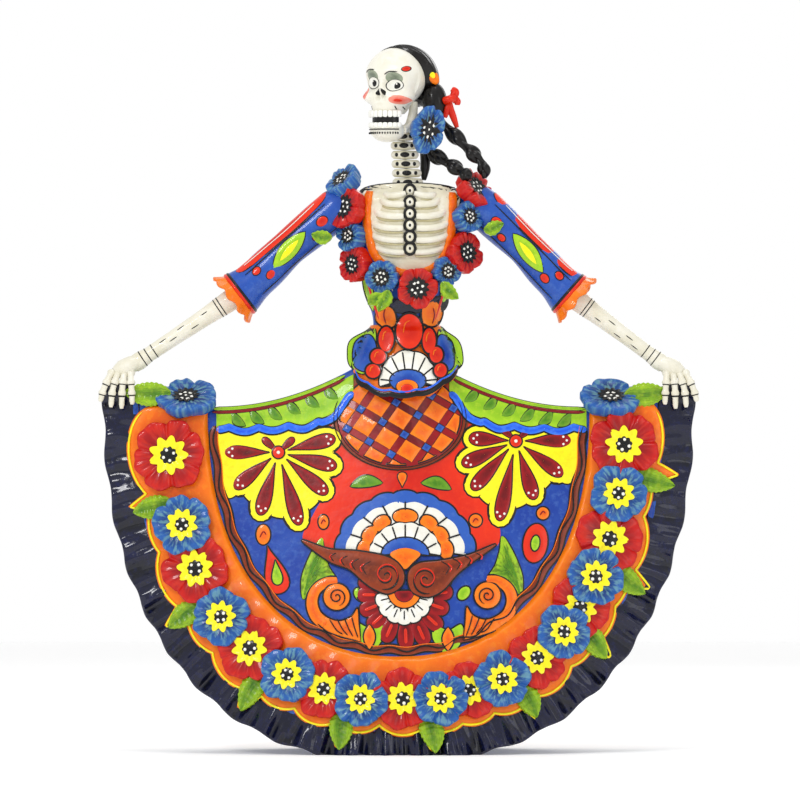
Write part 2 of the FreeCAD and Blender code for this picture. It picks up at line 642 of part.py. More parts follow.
def main():
    panel, band, ruffle = make_skirt()
    tool = seat_tool()
    save("skirt_front_panel", panel)
    save("skirt_back_panel", to_back(panel))
    save("garland_band_front", band)
    save("garland_band_back", to_back(band))
    save("hem_ruffle_front", ruffle)
    save("hem_ruffle_back", to_back(ruffle))

    placed, leaves = make_garland(tool)
    counts = {"red": 0, "blue": 0}
    for colour, body, eye in placed:
        counts[colour] += 1
        save("garland_flower_%s_%02d" % (colour, counts[colour]), body)
    save("garland_flower_eyes_front", [eye for colour, body, eye in placed])
    save("garland_leaves_front", leaves)
    save("garland_flowers_red_back", [to_back(body) for colour, body, eye in placed if colour == "red"])
    save("garland_flowers_blue_back", [to_back(body) for colour, body, eye in placed if colour == "blue"])
    save("garland_flower_eyes_back", [to_back(eye) for colour, body, eye in placed])
    save("garland_leaves_back", [to_back(piece) for piece in leaves])

    front = [panel, band, to_back(panel), to_back(band)]
    for side, name in ((-1, "left"), (1, "right")):
        near = [body for colour, body, eye in (placed[:2] if side < 0 else placed[-2:])]
        near += [leaves[0] if side < 0 else leaves[-1]]
        flower, eye = make_corner_flower(side, front + near + [to_back(n) for n in near])
        save("corner_flower_" + name, [flower, eye.cut(near[0])])

    bodice = make_bodice()
    peplum = biggest(make_peplum())
    bodice = bodice.cut(peplum)
    ribcage, ribs = make_ribcage(bodice)
    sternum = make_sternum(ribcage, bodice)
    neck = make_neck()
    arms = {}
    for side, name in ((-1, "left"), (1, "right")):
        sleeve, cuff, forearm = make_arm(side, bodice)
        hand = make_hand(side, forearm, [ruffle, to_back(ruffle)])
        arms[name] = sleeve
        save("sleeve_" + name, sleeve)
        save("cuff_" + name, cuff)
        save("forearm_" + name, forearm)
        save("hand_" + name, hand)
    save("bodice", bodice)
    save("peplum", peplum)
    save("ribcage", ribcage)
    save("ribs", ribs)
    save("sternum", sternum)
    save("neck_vertebrae", neck)

    blockers = [bodice, ribcage, arms["left"], arms["right"]] + ribs
    collar = make_collar(blockers)
    save("collar_flowers_red", [body for colour, body, eye in collar if colour == "red"])
    save("collar_flowers_blue", [body for colour, body, eye in collar if colour == "blue"])
    save("collar_flower_eyes", [eye for colour, body, eye in collar])

    skull, jaw, hair, upper, lower = make_head()
    jaw = biggest(clear_of(jaw, neck))
    skull = biggest(clear_of(skull, neck))
    hair = biggest(clear_of(hair, neck))
    save("skull", skull)
    save("jaw", jaw)
    save("hair", hair)
    save("upper_teeth", upper)
    save("lower_teeth", lower)
    flower, eye = make_hair_flower([skull, jaw, hair] + neck)
    save("hair_flower", [flower, eye])
    near = [skull, jaw, hair, flower, bodice, arms["right"]] + neck
    near += [body for colour, body, eye in collar]
    outer = make_braid(OUTER_BRAID, near)
    save("braid_outer", outer)
    save("braid_inner", make_braid(INNER_BRAID, near))
    save("ribbon_bow", make_ribbon([skull, jaw, hair, outer]))


main()
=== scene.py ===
from collections import defaultdict
import bmesh
import bpy
import numpy as np
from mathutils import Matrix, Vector


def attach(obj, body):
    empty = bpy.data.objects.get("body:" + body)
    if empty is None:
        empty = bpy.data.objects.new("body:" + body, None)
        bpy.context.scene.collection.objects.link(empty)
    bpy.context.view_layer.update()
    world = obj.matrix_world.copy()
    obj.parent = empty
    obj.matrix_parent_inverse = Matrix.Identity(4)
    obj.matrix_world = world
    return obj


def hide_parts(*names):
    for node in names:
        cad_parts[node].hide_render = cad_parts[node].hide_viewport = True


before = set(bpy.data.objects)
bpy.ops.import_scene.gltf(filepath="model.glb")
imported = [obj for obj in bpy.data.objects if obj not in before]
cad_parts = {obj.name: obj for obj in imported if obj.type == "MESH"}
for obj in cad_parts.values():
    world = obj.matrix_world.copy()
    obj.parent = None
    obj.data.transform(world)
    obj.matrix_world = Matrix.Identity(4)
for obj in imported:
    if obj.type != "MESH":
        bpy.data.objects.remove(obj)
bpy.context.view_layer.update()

# All shapes are worked out in millimetres and become metres in put().
# +Z up, the dancer's front towards -Y.

# ------------------------------------------------------------------ sizes shared with the clay body
HALF_W, WAIST_Z, WAIST_HALF_W = 209.0, 272.0, 30.0
BASE_DEPTH, WALL, WAIST_BULGE = 72.0, 5.0, 12.0
FOLD_SAG, FOLD_LOW_X, FOLD_RISE = 28.0, 128.0, 17.0
RUFFLE_T, BAND_T, BAND_IN = 3.2, 3.0, 0.015
TORSO_X, CHEST_W, CHEST_DEPTH = 5.0, 88.0, 40.0
LAYER = 0.16  # thickness of one coat of glaze
PI = np.pi


def fold_z(x):
    """Height of the skirt's top fold: two arcs of a parabola and a cosine, lowest at FOLD_LOW_X."""
    a = np.abs(x)
    low = WAIST_Z - FOLD_SAG
    inner = low + FOLD_SAG * ((FOLD_LOW_X - a) / (FOLD_LOW_X - WAIST_HALF_W)) ** 2
    outer = low + FOLD_RISE * 0.5 * (1 - np.cos(PI * (a - FOLD_LOW_X) / 78.0))
    return np.where(a < FOLD_LOW_X, inner, outer)


def depth(x, z):
    """Distance of the skirt's outer face from the mid-plane: grows from the fold down to the hem and fades
    to the sides."""
    s = np.clip((fold_z(x) - z) / fold_z(x), 0, 1)
    u = np.clip(np.abs(x) / (HALF_W + 3), 0, 1)
    return WALL + (BASE_DEPTH - WALL) * (1 - u * u) ** 1.2 * s ** 0.85 + WAIST_BULGE * np.exp(-(x / 22.0)
            ** 2 - s / 0.15)


def oval(t, half_w, side_z, drop, power):
    """Superellipse of the fan: t is the angle from straight down."""
    k = (np.abs(np.sin(t)) ** power + np.abs(np.cos(t)) ** power) ** (-1 / power)
    return half_w * k * np.sin(t), side_z - drop * k * np.cos(t)


def ring_point(t, w):
    """Point of the hem region: w runs from the garland's inner edge (0) to the hem (1) along the fan angle
    t."""
    ax, az = oval(t, 134.0, 238.0, 168.0, 2.2)
    bx, bz = oval(t, HALF_W, 257.0, 261.5, 2.35)
    x, z = ax + (bx - ax) * w, az + (bz - az) * w
    return x, z + np.abs(np.sin(t)) ** 24 * (fold_z(x) - (238.0 + 19.0 * w))


def panel_point(t, v):
    """Point of the plain panel: v from the waist (0) to the ruffle (1)."""
    hx, hz = ring_point(t, 0.72)
    wx = WAIST_HALF_W * np.sin(t)
    x, z = wx + (hx - wx) * v, WAIST_Z + (hz - WAIST_Z) * v
    straight = WAIST_Z + (ring_point(PI / 2, 0.72)[1] - WAIST_Z) * v
    return x, z + np.abs(np.sin(t)) ** 10 * (fold_z(x) - straight)


# ------------------------------------------------------------------ mesh tools
def circle(n):
    """Angles of n points spread evenly round a circle."""
    return np.linspace(0, 2 * PI, n, endpoint=False)


def xyz(*parts):
    """Coordinates put together into points, after they are spread over one grid."""
    return np.stack(np.broadcast_arrays(*parts), -1)


def unit(v):
    """Vectors shortened or stretched to length one."""
    return v / np.maximum(np.linalg.norm(v, axis=-1, keepdims=True), 1e-9)


def ahead(path):
    """Direction of travel at each point of a path: the step between its neighbours, at length one."""
    return unit(np.gradient(path, axis=0))


def compass(az, el):
    """Direction az round from straight ahead (-Y) and el up from level."""
    return np.stack([np.cos(el) * np.sin(az), -np.cos(el) * np.cos(az), np.sin(el)], -1)


def ball(sides, rows, low=0.01 - PI / 2, high=PI / 2 - 0.01):
    """Grid of angles round (az) and up (el) for a round body."""
    return np.broadcast_arrays(circle(sides)[None, :], np.linspace(low, high, rows)[:, None])


def quads(a, b, wrap_a=False, wrap_b=False, flip=False):
    """Four-sided faces of a grid of a by b points, joined end to end where it wraps."""
    i, j = np.meshgrid(np.arange(a if wrap_a else a - 1), np.arange(b if wrap_b else b - 1), indexing="ij")
    i2, j2 = (i + 1) % a, (j + 1) % b
    f = np.stack([i * b + j, i2 * b + j, i2 * b + j2, i * b + j2], -1).reshape(-1, 4)
    return f[:, ::-1] if flip else f


class Heap:
    """Surfaces gathered into one mesh, each with a shade value (0 in the middle, 1 at the rim) and a pattern
    position (u, v)."""

    def __init__(self):
        self.v, self.f, self.s, self.uv, self.n = [], [], [], [], 0

    def add(self, p, shade=None, uv=None, wrap_a=False, wrap_b=False, flip=False):
        a, b = p.shape[:2]
        self.v.append(p.reshape(-1, 3))
        self.f.append(quads(a, b, wrap_a, wrap_b, flip) + self.n)
        self.s.append(np.zeros(a * b) if shade is None else np.broadcast_to(shade, (a, b)).reshape(-1))
        if uv is None:
            uv = np.stack(np.meshgrid(np.linspace(0, 1, a), np.linspace(0, 1, b), indexing="ij"), -1)
        self.uv.append(uv.reshape(-1, 2))
        self.n += a * b

    def put(self, name, colour, node=None, back=False, weld=False):
        """Makes the object, in metres, of one glaze. It takes the place of the named clay node, which it
        hides.
        back reflects the front's surfaces in the mid-plane. weld joins the rims of a closed wall."""
        v, f = np.concatenate(self.v) * 0.001, np.concatenate(self.f)
        if back:
            v = v * np.array([1, -1, 1])
            f = f[:, ::-1]
        mesh = bpy.data.meshes.new(name)
        mesh.from_pydata(v.tolist(), [], f.tolist())
        shade = mesh.attributes.new("shade", "FLOAT", "POINT")
        shade.data.foreach_set("value", np.concatenate(self.s).astype(np.float32))
        layer = mesh.uv_layers.new(name="pattern")
        loops = np.empty(len(mesh.loops), np.int32)
        mesh.loops.foreach_get("vertex_index", loops)
        layer.data.foreach_set("uv", np.concatenate(self.uv)[loops].astype(np.float32).ravel())
        mesh.validate()
        if weld:
            work = bmesh.new()
            work.from_mesh(mesh)
            bmesh.ops.remove_doubles(work, verts=work.verts, dist=1e-6)
            bmesh.ops.recalc_face_normals(work, faces=work.faces)
            work.to_mesh(mesh)
            work.free()
        mesh.shade_smooth()
        mesh.materials.append(GLAZE[colour])
        obj = bpy.data.objects.new(name, mesh)
        bpy.context.collection.objects.link(obj)
        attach(obj, "root")
        if node:
            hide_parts(node)
            SLOT[colour]

    def both(self, name, colour, node=None, weld=False):
        """The piece and its reflection; %s in a name stands for front or back."""
        for end in ("front", "back"):
            self.put(name % end, colour, node and node % end, end == "back", weld)


def lerp(a, b, k):
    """The value a share k of the way from a to b."""
    return a + (b - a) * k


def through(points, n, closed=False):
    """Smooth line through points: cubic Hermite pieces whose slopes are half the step between neighbours."""
    p = np.asarray(points, float)
    m = len(p)
    if closed:
        prev, nxt = np.roll(p, 1, 0), np.roll(p, -1, 0)
        t = np.linspace(0, m, n, endpoint=False)
    else:
        prev, nxt = np.vstack([p[:1], p[:-1]]), np.vstack([p[1:], p[-1:]])
        t = np.linspace(0, m - 1, n)
    slope = (nxt - prev) / 2
    i = np.minimum(t.astype(int), m - (1 if closed else 2))
    j = (i + 1) % m
    f = (t - i)[:, None]
    return ((2 * f ** 3 - 3 * f ** 2 + 1) * p[i] + (f ** 3 - 2 * f ** 2 + f) * slope[i]
            + (3 * f ** 2 - 2 * f ** 3) * p[j] + (f ** 3 - f ** 2) * slope[j])


def loop(points, n):
    """Smooth closed outline of n points."""
    return through(points, n, True)


def slab(heap, outer, inner, shade=None, round_edge=1.0):
    """Closed wall: an outer grid, an inner grid, and a bead that joins their borders and swells out by
    round_edge."""
    ring_o, ring_q = (np.concatenate([g[0, :], g[1:-1, -1], g[-1, ::-1], g[-2:0:-1, 0]]) for g in (outer,
            inner))
    ring_m = (ring_o + ring_q) / 2
    away = unit((ring_m - outer.reshape(-1, 3).mean(0)) * [1, 0, 1]) * round_edge
    rows = [ring_o, lerp(ring_o, ring_m, 0.4) + 0.8 * away, ring_m + away,
            lerp(ring_q, ring_m, 0.4) + 0.8 * away, ring_q]
    heap.add(outer, shade, flip=True)
    heap.add(inner, shade)
    heap.add(np.stack(rows), 1.0, wrap_b=True, flip=True)


# ------------------------------------------------------------------ painted glaze
def skirt(x, z, lift):
    """A point of the skirt's front, lift millimetres proud of the clay."""
    return np.stack([x, -depth(x, z) - lift, z], -1)


def fill(heap, surf, out, lift, dome=0.25, centre=None, rings=6):
    """Patch of glaze: rings from a centre to the outline, domed like a drop, its rim sunk into what it lies
    on."""
    c = out.mean(0) if centre is None else np.asarray(centre, float)
    s = np.linspace(0.02, 1, rings)
    p = c + (out[None] - c) * s[:, None, None]
    rise = lift + dome * np.sqrt(np.clip(1 - s ** 2.4, 0, 1)) - 0.12 * (s > 0.999)
    heap.add(surf(p[..., 0], p[..., 1], rise[:, None]), s[:, None] ** 2, wrap_b=True, flip=area(out) < 0)


def stroke(heap, surf, points, width, lift=0.1, dome=0.3, n=None, taper=0.15, smooth=True):
    """Brush line: a rounded ridge carried along a smooth path, thinning out over the taper share at both
    ends."""
    p = np.asarray(points, float)
    p = through(p, n or max(8, 8 * len(p))) if smooth else p
    d = ahead(p)
    side = np.stack([-d[:, 1], d[:, 0]], -1)
    t = np.linspace(0, 1, len(p))
    w = np.asarray(width) * np.clip(np.minimum(t, 1 - t) / taper, 0.08, 1) ** 0.5
    k = np.array([-0.5, -0.36, 0, 0.36, 0.5])
    q = p[None] + side[None] * (w[None, :, None] * k[:, None, None])
    rise = lift + dome * (1 - (2 * k) ** 2) - 0.1 * (np.abs(k) > 0.49)
    heap.add(surf(q[..., 0], q[..., 1], rise[:, None]), np.abs(2 * k)[:, None] ** 2, flip=True)


def ellipse(cx, cz, rx, rz=None, turn=0.0, n=28):
    """Ellipse about (cx, cz), turned by turn degrees."""
    a = circle(n)
    rz = rx if rz is None else rz
    c, s = np.cos(np.radians(turn)), np.sin(np.radians(turn))
    x, z = rx * np.cos(a), rz * np.sin(a)
    return np.stack([cx + x * c - z * s, cz + x * s + z * c], -1)


def drop(x0, z0, x1, z1, width, n=30):
    """Teardrop from its tip (x0, z0) to its round end (x1, z1)."""
    s = (1 - np.cos(circle(n))) / 2
    across = np.sin(circle(n)) * s ** 0.9 * width * 0.72
    d = np.array([x1 - x0, z1 - z0])
    e = np.array([-d[1], d[0]]) / np.hypot(*d)
    return np.array([x0, z0]) + d * s[:, None] + e * across[:, None]


def lens(x0, z0, x1, z1, width, bend=0.0, n=32):
    """Leaf shape from end to end, its spine bowed sideways by bend."""
    s = np.concatenate([np.linspace(0, 1, n // 2, endpoint=False), np.linspace(1, 0, n // 2, endpoint=False)])
    sign = np.where(np.arange(n) < n // 2, 1, -1)
    d = np.array([x1 - x0, z1 - z0])
    e = np.array([-d[1], d[0]]) / np.hypot(*d)
    across = sign * np.sin(PI * s) ** 0.8 * width / 2 + bend * np.sin(PI * s)
    return np.array([x0, z0]) + d * s[:, None] + e * across[:, None]


def area(outline):
    """Twice the area inside an outline, negative where it runs clockwise."""
    x, z = outline.T
    return np.sum(x * np.roll(z, -1) - z * np.roll(x, -1))


def grow(outline, by):
    """The outline moved outwards by a distance, square to itself."""
    d = unit(np.roll(outline, -1, 0) - np.roll(outline, 1, 0))
    return outline + np.stack([d[:, 1], -d[:, 0]], -1) * by * np.sign(area(outline))


class Paint:
    """One heap per colour. Every shape gets a dark outline under it, as black resist lines part the
    glazes."""

    def __init__(self, surf, prefix, base=0.0):
        self.surf, self.prefix, self.base = surf, prefix, base
        self.heaps = defaultdict(Heap)

    def shape(self, colour, outline, level=1, edge=0.75, centre=None, rings=6, dome=0.22):
        lift = self.base + LAYER * level
        if edge:
            fill(self.heaps["black"], self.surf, grow(outline, edge), lift - 0.07, 0.03, centre, rings)
        fill(self.heaps[colour], self.surf, outline, lift, dome, centre, rings)

    def line(self, colour, points, width, level=3, edge=0.0, **more):
        lift = self.base + LAYER * level
        if edge:
            stroke(self.heaps["black"], self.surf, points, width + 2 * edge, lift - 0.07,
                    **{**more, "dome": 0.05})
        stroke(self.heaps[colour], self.surf, points, width, lift, **more)

    def finish(self, back=True):
        for colour, heap in self.heaps.items():
            name = self.prefix + "_" + colour
            heap.put(name + "_front", colour)
            if back:
                heap.put(name + "_back", colour, back=True)


# ------------------------------------------------------------------ finishes
def linear(code, alpha=1.0):
    """Linear colour of an sRGB hex value."""
    c = np.array([int(code[i:i + 2], 16) for i in (0, 2, 4)]) / 255
    c = np.where(c <= 0.04045, c / 12.92, ((c + 0.055) / 1.055) ** 2.4)
    return (*c.tolist(), alpha)


def add(tree, kind, settings=(), links=()):
    """Adds a node: settings are attribute or socket values, links feed its sockets."""
    n = tree.nodes.new(kind)
    for key, value in dict(settings).items():
        if isinstance(key, str) and hasattr(n, key):
            setattr(n, key, value)
        else:
            n.inputs[key].default_value = value
    for key, source in dict(links).items():
        tree.links.new(source, n.inputs[key])
    return n


def ramp(tree, source, stops):
    """Colour ramp through the given places and colours."""
    n = add(tree, "ShaderNodeValToRGB", links={"Fac": source})
    band = n.color_ramp
    while len(band.elements) < len(stops):
        band.elements.new(0.5)
    for e, (place, code) in zip(band.elements, stops):
        e.position = place
        e.color = linear(code)
    return n.outputs["Color"]


def glaze(name, thick, thin, fleck, rough=0.12, fleck_amount=0.35, relief=0.35, streak=None, coat=0.22):
    """Tin glaze over earthenware: glassy and slightly wavy, deep where it pools and paler where it runs thin
    over a rim, with brush mottling about 4 mm across."""
    mat = bpy.data.materials.new(name)
    mat.use_nodes = True
    tree = mat.node_tree
    tree.nodes.clear()
    where = add(tree, "ShaderNodeTexCoord").outputs["Object"]
    shade = add(tree, "ShaderNodeAttribute", {"attribute_name": "shade"}).outputs["Fac"]
    mottle = add(tree, "ShaderNodeTexNoise", {"Scale": 240.0, "Detail": 4.0, "Roughness": 0.6},
            {"Vector": where})
    cloud = add(tree, "ShaderNodeTexNoise", {"Scale": 70.0, "Detail": 2.0}, {"Vector": where})
    total = add(tree, "ShaderNodeMath", {"operation": "MULTIPLY_ADD", 1: 0.75},
            {0: cloud.outputs["Fac"], 2: shade})
    base = ramp(tree, total.outputs[0], [(0.30, thick), (0.95, thin)])
    spot = ramp(tree, mottle.outputs["Fac"], [(0.50, "000000"), (0.68, "ffffff")])
    part = add(tree, "ShaderNodeMath", {"operation": "MULTIPLY", 1: fleck_amount}, {0: spot})
    colour = add(tree, "ShaderNodeMix", {"data_type": "RGBA"}, {0: part.outputs[0], 6: base})
    colour.inputs[7].default_value = linear(fleck)
    out = colour.outputs[2]
    if streak:
        uv = add(tree, "ShaderNodeUVMap", {"uv_map": "pattern"}).outputs["UV"]
        spread = add(tree, "ShaderNodeMapping", {"Scale": streak[1]}, {"Vector": uv})
        lines = add(tree, "ShaderNodeTexNoise", {"Scale": 1.0, "Detail": 3.0}, {"Vector": spread.outputs[0]})
        mask = ramp(tree, lines.outputs["Fac"], [(0.48, "000000"), (0.62, "ffffff")])
        fade = add(tree, "ShaderNodeMath", {"operation": "MULTIPLY", 1: streak[2]}, {0: mask})
        over = add(tree, "ShaderNodeMix", {"data_type": "RGBA"}, {0: fade.outputs[0], 6: out})
        over.inputs[7].default_value = linear(streak[0])
        out = over.outputs[2]
    wave = add(tree, "ShaderNodeTexNoise", {"Scale": 110.0, "Detail": 3.0}, {"Vector": where})
    bump = add(tree, "ShaderNodeBump", {"Strength": relief, "Distance": 0.0012},
            {"Height": wave.outputs["Fac"]})
    shader = add(tree, "ShaderNodeBsdfPrincipled", {"Roughness": rough + 0.22, "IOR": 1.45,
            "Specular IOR Level": 0.3, "Coat Weight": coat,
                                                         "Coat Roughness": 0.03},
                 {"Base Color": out, "Normal": bump.outputs[0]})
    add(tree, "ShaderNodeOutputMaterial", links={"Surface": shader.outputs[0]})
    return mat


SLOT = {"blue": "skirt_glaze", "navy": "navy_glaze", "orange": "orange_glaze", "red": "red_glaze",
        "petal_red": "red_glaze",
        "petal_blue": "flower_blue_glaze", "leaf": "green_glaze", "black": "black_glaze",
        "hair": "black_glaze",
        "bone": "bone_glaze", "white": "bone_glaze"}
GLAZE = {
    "blue": glaze("cobalt_glaze", "143c9c", "2c5cb8", "5078c0"),
    "sky": glaze("bright_blue_glaze", "1450e0", "2c74f0", "64a0f4"),
    "navy": glaze("midnight_glaze", "020412", "080c2c", "141e58", rough=0.0, relief=0.9, coat=0.45),
    "red": glaze("iron_red_glaze", "cc1804", "e42c08", "f04410", fleck_amount=0.25),
    "maroon": glaze("oxblood_glaze", "5c0008", "980610", "b0141c", fleck_amount=0.25),
    "yellow": glaze("antimony_yellow_glaze", "fcee08", "fff020", "d8b418", fleck_amount=0.25),
    "orange": glaze("orange_glaze", "e85c04", "f87c08", "fc9c18"),
    "lime": glaze("lime_glaze", "7cb414", "a0d020", "cce438"),
    "green": glaze("copper_green_glaze", "3c7a0c", "62981c", "94b42c"),
    "brown": glaze("manganese_brown_glaze", "64200a", "8c3410", "b04c1c"),
    "white": glaze("tin_white_glaze", "f6f6f0", "eceade", "ffffff"),
    "black": glaze("black_line_glaze", "060606", "101010", "1c1c24", rough=0.2),
    "bone": glaze("bone_white_glaze", "f4f2e8", "dcd6bc", "ffffff", fleck_amount=0.2),
    "petal_red": glaze("flower_red_glaze", "7c0410", "c41410", "98060c", streak=("e83c18", (40, 2, 1), 0.30)),
    "petal_blue": glaze("flower_blue_glaze", "082460", "245ca8", "2c68b0",
    streak=("84bcb4", (36, 3, 1), 0.45)),
    "leaf": glaze("leaf_green_glaze", "4c8410", "98c41c", "c4dc30", streak=("1c3404", (3, 26, 1), 0.6)),
    "hair": glaze("black_hair_glaze", "030202", "0a0706", "181010", rough=0.15),
    "olive": glaze("bone_shade_glaze", "a89c70", "c4bc94", "d8d0ac"),
    "pink": glaze("blush_glaze", "e04838", "f08c78", "f4b09c"),
    "grey": glaze("eye_shadow_glaze", "5c6a58", "909a84", "b4b8a4"),
}

# ------------------------------------------------------------------ skirt, ruffle and garland strip
def fan_grid(point, n_t, v0, v1, n_v, edge=None):
    """Grid of fan angles by shares of the width; edge bends the outer border in and out along the angle."""
    t = np.linspace(-PI / 2, PI / 2, n_t)[:, None]
    v = np.linspace(0, 1, n_v)[None, :]
    top = v1 if edge is None else edge(t)
    return t, v0 + (top - v0) * v, point(t, v0 + (top - v0) * v)


def make_skirt():
    """Front and back slabs as thick as the clay, from the fold to the ruffle: the panel's points on the
    skirt's surface."""
    t, v, (x, z) = fan_grid(panel_point, 240, 0.0, 1.0, 90)
    outer = np.stack([x, -depth(x, z), np.maximum(z, 0.0)], -1)
    heap = Heap()
    slab(heap, outer, outer + [0, WALL - 0.1, 0], round_edge=0.6)
    heap.both("skirt_%s", "blue", "skirt_%s_panel", weld=True)


def ruffle_offset(t, w):
    """Gathers of the hem strip: two wave trains along the hem that grow from the garland to the edge, with
    the crests leaning."""
    grow = np.clip((w - 0.66) / 0.34, 0, 1) ** 0.7
    a = 46 * t + 0.9 * np.sin(7 * t) + 1.1 * w
    fade = np.cos(t * 0.985) ** 0.3
    waves = 3.0 * np.sin(a) + 1.5 * np.sin(2.3 * a + 1.0) + 0.9 * np.sin(4.1 * a - 9 * w)
    return grow * (fade * waves + 0.6 * np.sin(97 * t + 14 * w))


def make_ruffle():
    """Gathered strip: the skirt's surface plus the gathers, whose crests also swing along the hem."""
    t, w, (x, z) = fan_grid(ring_point, 900, 0.66, 1.0, 16)
    wave = ruffle_offset(t, w)
    swing = np.clip((w - 0.8) / 0.2, 0, 1) * 1.2 * np.cos(46 * t + 0.9 * np.sin(7 * t))
    x = x + swing * np.sin(t)
    z = np.maximum(z - swing * np.cos(t), 0.0)
    outer = np.stack([x, wave - depth(x, z) - 0.2, z], -1)
    heap = Heap()
    slab(heap, outer, outer + [0, RUFFLE_T, 0], np.clip(0.5 - wave * 0.2, 0, 1), round_edge=0.5)
    heap.both("hem_ruffle_glazed_%s", "navy", "hem_ruffle_%s", weld=True)


# colour, fan angle in degrees from straight down, share of the garland's width, radius
FLOWERS = [
    ("red", -79, 0.40, 25.5), ("blue", -66, 0.38, 21.0), ("red", -57, 0.40, 24.0), ("blue", -46, 0.42, 20.5),
    ("red", -37, 0.42, 23.5), ("blue", -27, 0.42, 20.0), ("red", -18, 0.42, 21.0), ("blue", -9, 0.44, 19.5),
    ("red", 1, 0.42, 21.5), ("blue", 10, 0.44, 19.5), ("red", 17, 0.42, 20.0), ("blue", 25, 0.43, 20.0),
    ("red", 34, 0.43, 21.5), ("blue", 42, 0.42, 19.5), ("red", 48, 0.40, 22.0), ("blue", 55, 0.38, 20.5),
    ("red", 63, 0.37, 24.0), ("blue", 72, 0.35, 20.5), ("red", 81, 0.35, 24.5),
]
# fan angle, share of the garland's width at the stalk, length
LEAVES = [
    (-91, 0.36, 34.0), (-71, 0.42, 30.0), (-51, 0.50, 30.0), (-32, 0.50, 33.0), (-12, 0.54, 30.0),
    (7, 0.54, 30.0), (28, 0.52, 28.0), (45, 0.50, 30.0), (58, 0.44, 34.0), (76, 0.40, 36.0), (91, 0.34, 32.0),
]


def band_edge(t):
    """Outer edge of the orange strip, as a share of the garland's width: it keeps 3 mm outside every
    flower's circle and runs out in a point under every leaf."""
    reach, width = 185.0, 75.0
    out = 0.36 + 0.02 * np.sin(47 * t)
    for colour, deg, w, r in FLOWERS:
        along = reach * (t - np.radians(deg))
        out = np.maximum(out, w + 0.02 + np.sqrt(np.clip((r + 2.6) ** 2 - along ** 2, 0, None)) / width)
    for deg, w, length in LEAVES:
        along = reach * np.abs(t - np.radians(deg))
        out = np.maximum(out, w + (length + 2.0) / width * (1 - along / 13.0))
    return np.minimum(out, 0.90)


def make_band():
    """Orange strip under the flowers: its thickness swells in a flat roll between its two borders."""
    t, w, (x, z) = fan_grid(ring_point, 900, BAND_IN, 0.68, 14, band_edge)
    z = np.maximum(z, 0.6)
    roll = np.sin(PI * np.clip((w - BAND_IN) / (band_edge(t) - BAND_IN), 0, 1)) ** 0.35
    top = BAND_T * (0.45 + 0.55 * roll) + 0.25 * np.sin(60 * t + 9 * w)
    heap = Heap()
    slab(heap, skirt(x, z, top), skirt(x, z, -0.4), 1 - roll, round_edge=0.8)
    heap.both("garland_strip_%s", "orange", "garland_band_%s", weld=True)
    # a yellow brush line along the strip's outer edge
    p = Paint(lambda x, z, lift: skirt(x, z, lift + BAND_T * 0.55), "strip_paint")
    t = np.linspace(-1.5, 1.5, 1100)
    x, z = ring_point(t, band_edge(t) - 0.012)
    p.line("yellow", np.stack([x, np.maximum(z, 0.9)], -1), 1.5, 5, smooth=False, taper=0.01)
    p.finish()


def frame_at(x, z, lift):
    """Origin and axes (along X, upwards, outwards) of the plane that touches the skirt's front at (x, z)."""
    e = 0.5
    n = unit(np.array([depth(x - e, z) - depth(x + e, z), -2 * e, depth(x, z - e) - depth(x, z + e)]))
    across = unit(np.array([1.0, 0, 0]) - n * n[0])
    return np.array([x, -depth(x, z) - lift, z]), across, np.cross(n, across), n


def to_world(local, spot):
    """Local (a, b, height) to the row frame through a spot's origin and three axes."""
    o, a, b, n = spot
    return o + local[..., 0:1] * a + local[..., 1:2] * b + local[..., 2:3] * n


def petals(heap, spot, r, h, lobes, seed, n=132, rings=16, foot=3.0):
    """Blossom: round lobes that overlap at narrow creases, dished in the middle, with a rolled, rippled rim
    that folds down to its foot."""
    rng = np.random.default_rng(seed)
    a = circle(n)[None, :]
    s = np.concatenate([np.linspace(0.02, 1, rings), [1.02, 1.0, 0.90]])[:, None]
    phase = rng.uniform(0, 2 * PI)
    warp = a + 0.10 * np.sin(2 * a + phase) + 0.07 * np.sin(3 * a + 2 * phase)
    lobe = np.abs(np.cos(lobes * (warp + phase) / 2))
    edge = r * (0.84 + 0.16 * lobe ** 0.5) * (1 + 0.03 * np.sin(4 * a + phase) + 0.02 * np.sin(13 * a))
    inner = np.clip(s, 0, 1)
    crease = (1 - lobe) ** 4 * inner ** 0.8
    z = h * (0.42 + 0.58 * np.sin(PI * 0.62 * inner) ** 1.3) - 0.45 * h * crease
    z = z + 0.09 * h * np.sin(3 * lobes * warp + phase) * inner ** 2
    z = np.where(s > 1.01, z - 0.9, z)
    z[-2] = z[-3] * 0.3 - foot * 0.4
    z[-1] = -foot
    local = xyz(edge * s * np.cos(a), edge * s * np.sin(a), z)
    shade = np.clip(inner ** 3 * 0.8 + 0.5 * crease, 0, 1)
    uv = xyz(a / (2 * PI) + seed * 0.37, inner)
    heap.add(to_world(local, spot), shade, uv, wrap_b=True)


def star(heap, spot, r, h, rays, seed, lift):
    """Flat rayed patch in the heart of a flower."""
    a = circle(rays * 8)[None, :]
    s = np.linspace(0.05, 1, 7)[:, None]
    edge = r * (0.72 + 0.28 * np.abs(np.cos(rays * a / 2 + seed)) ** 1.5)
    dish = h * 0.58 * np.sin(PI * 0.62 * s * 0.5) ** 1.3
    z = lift + dish + 0.25 * np.sqrt(np.clip(1 - s ** 3, 0, 1)) - 0.2 * (s > 0.99)
    local = xyz(edge * s * np.cos(a), edge * s * np.sin(a), z)
    heap.add(to_world(local, spot), s ** 2, wrap_b=True)


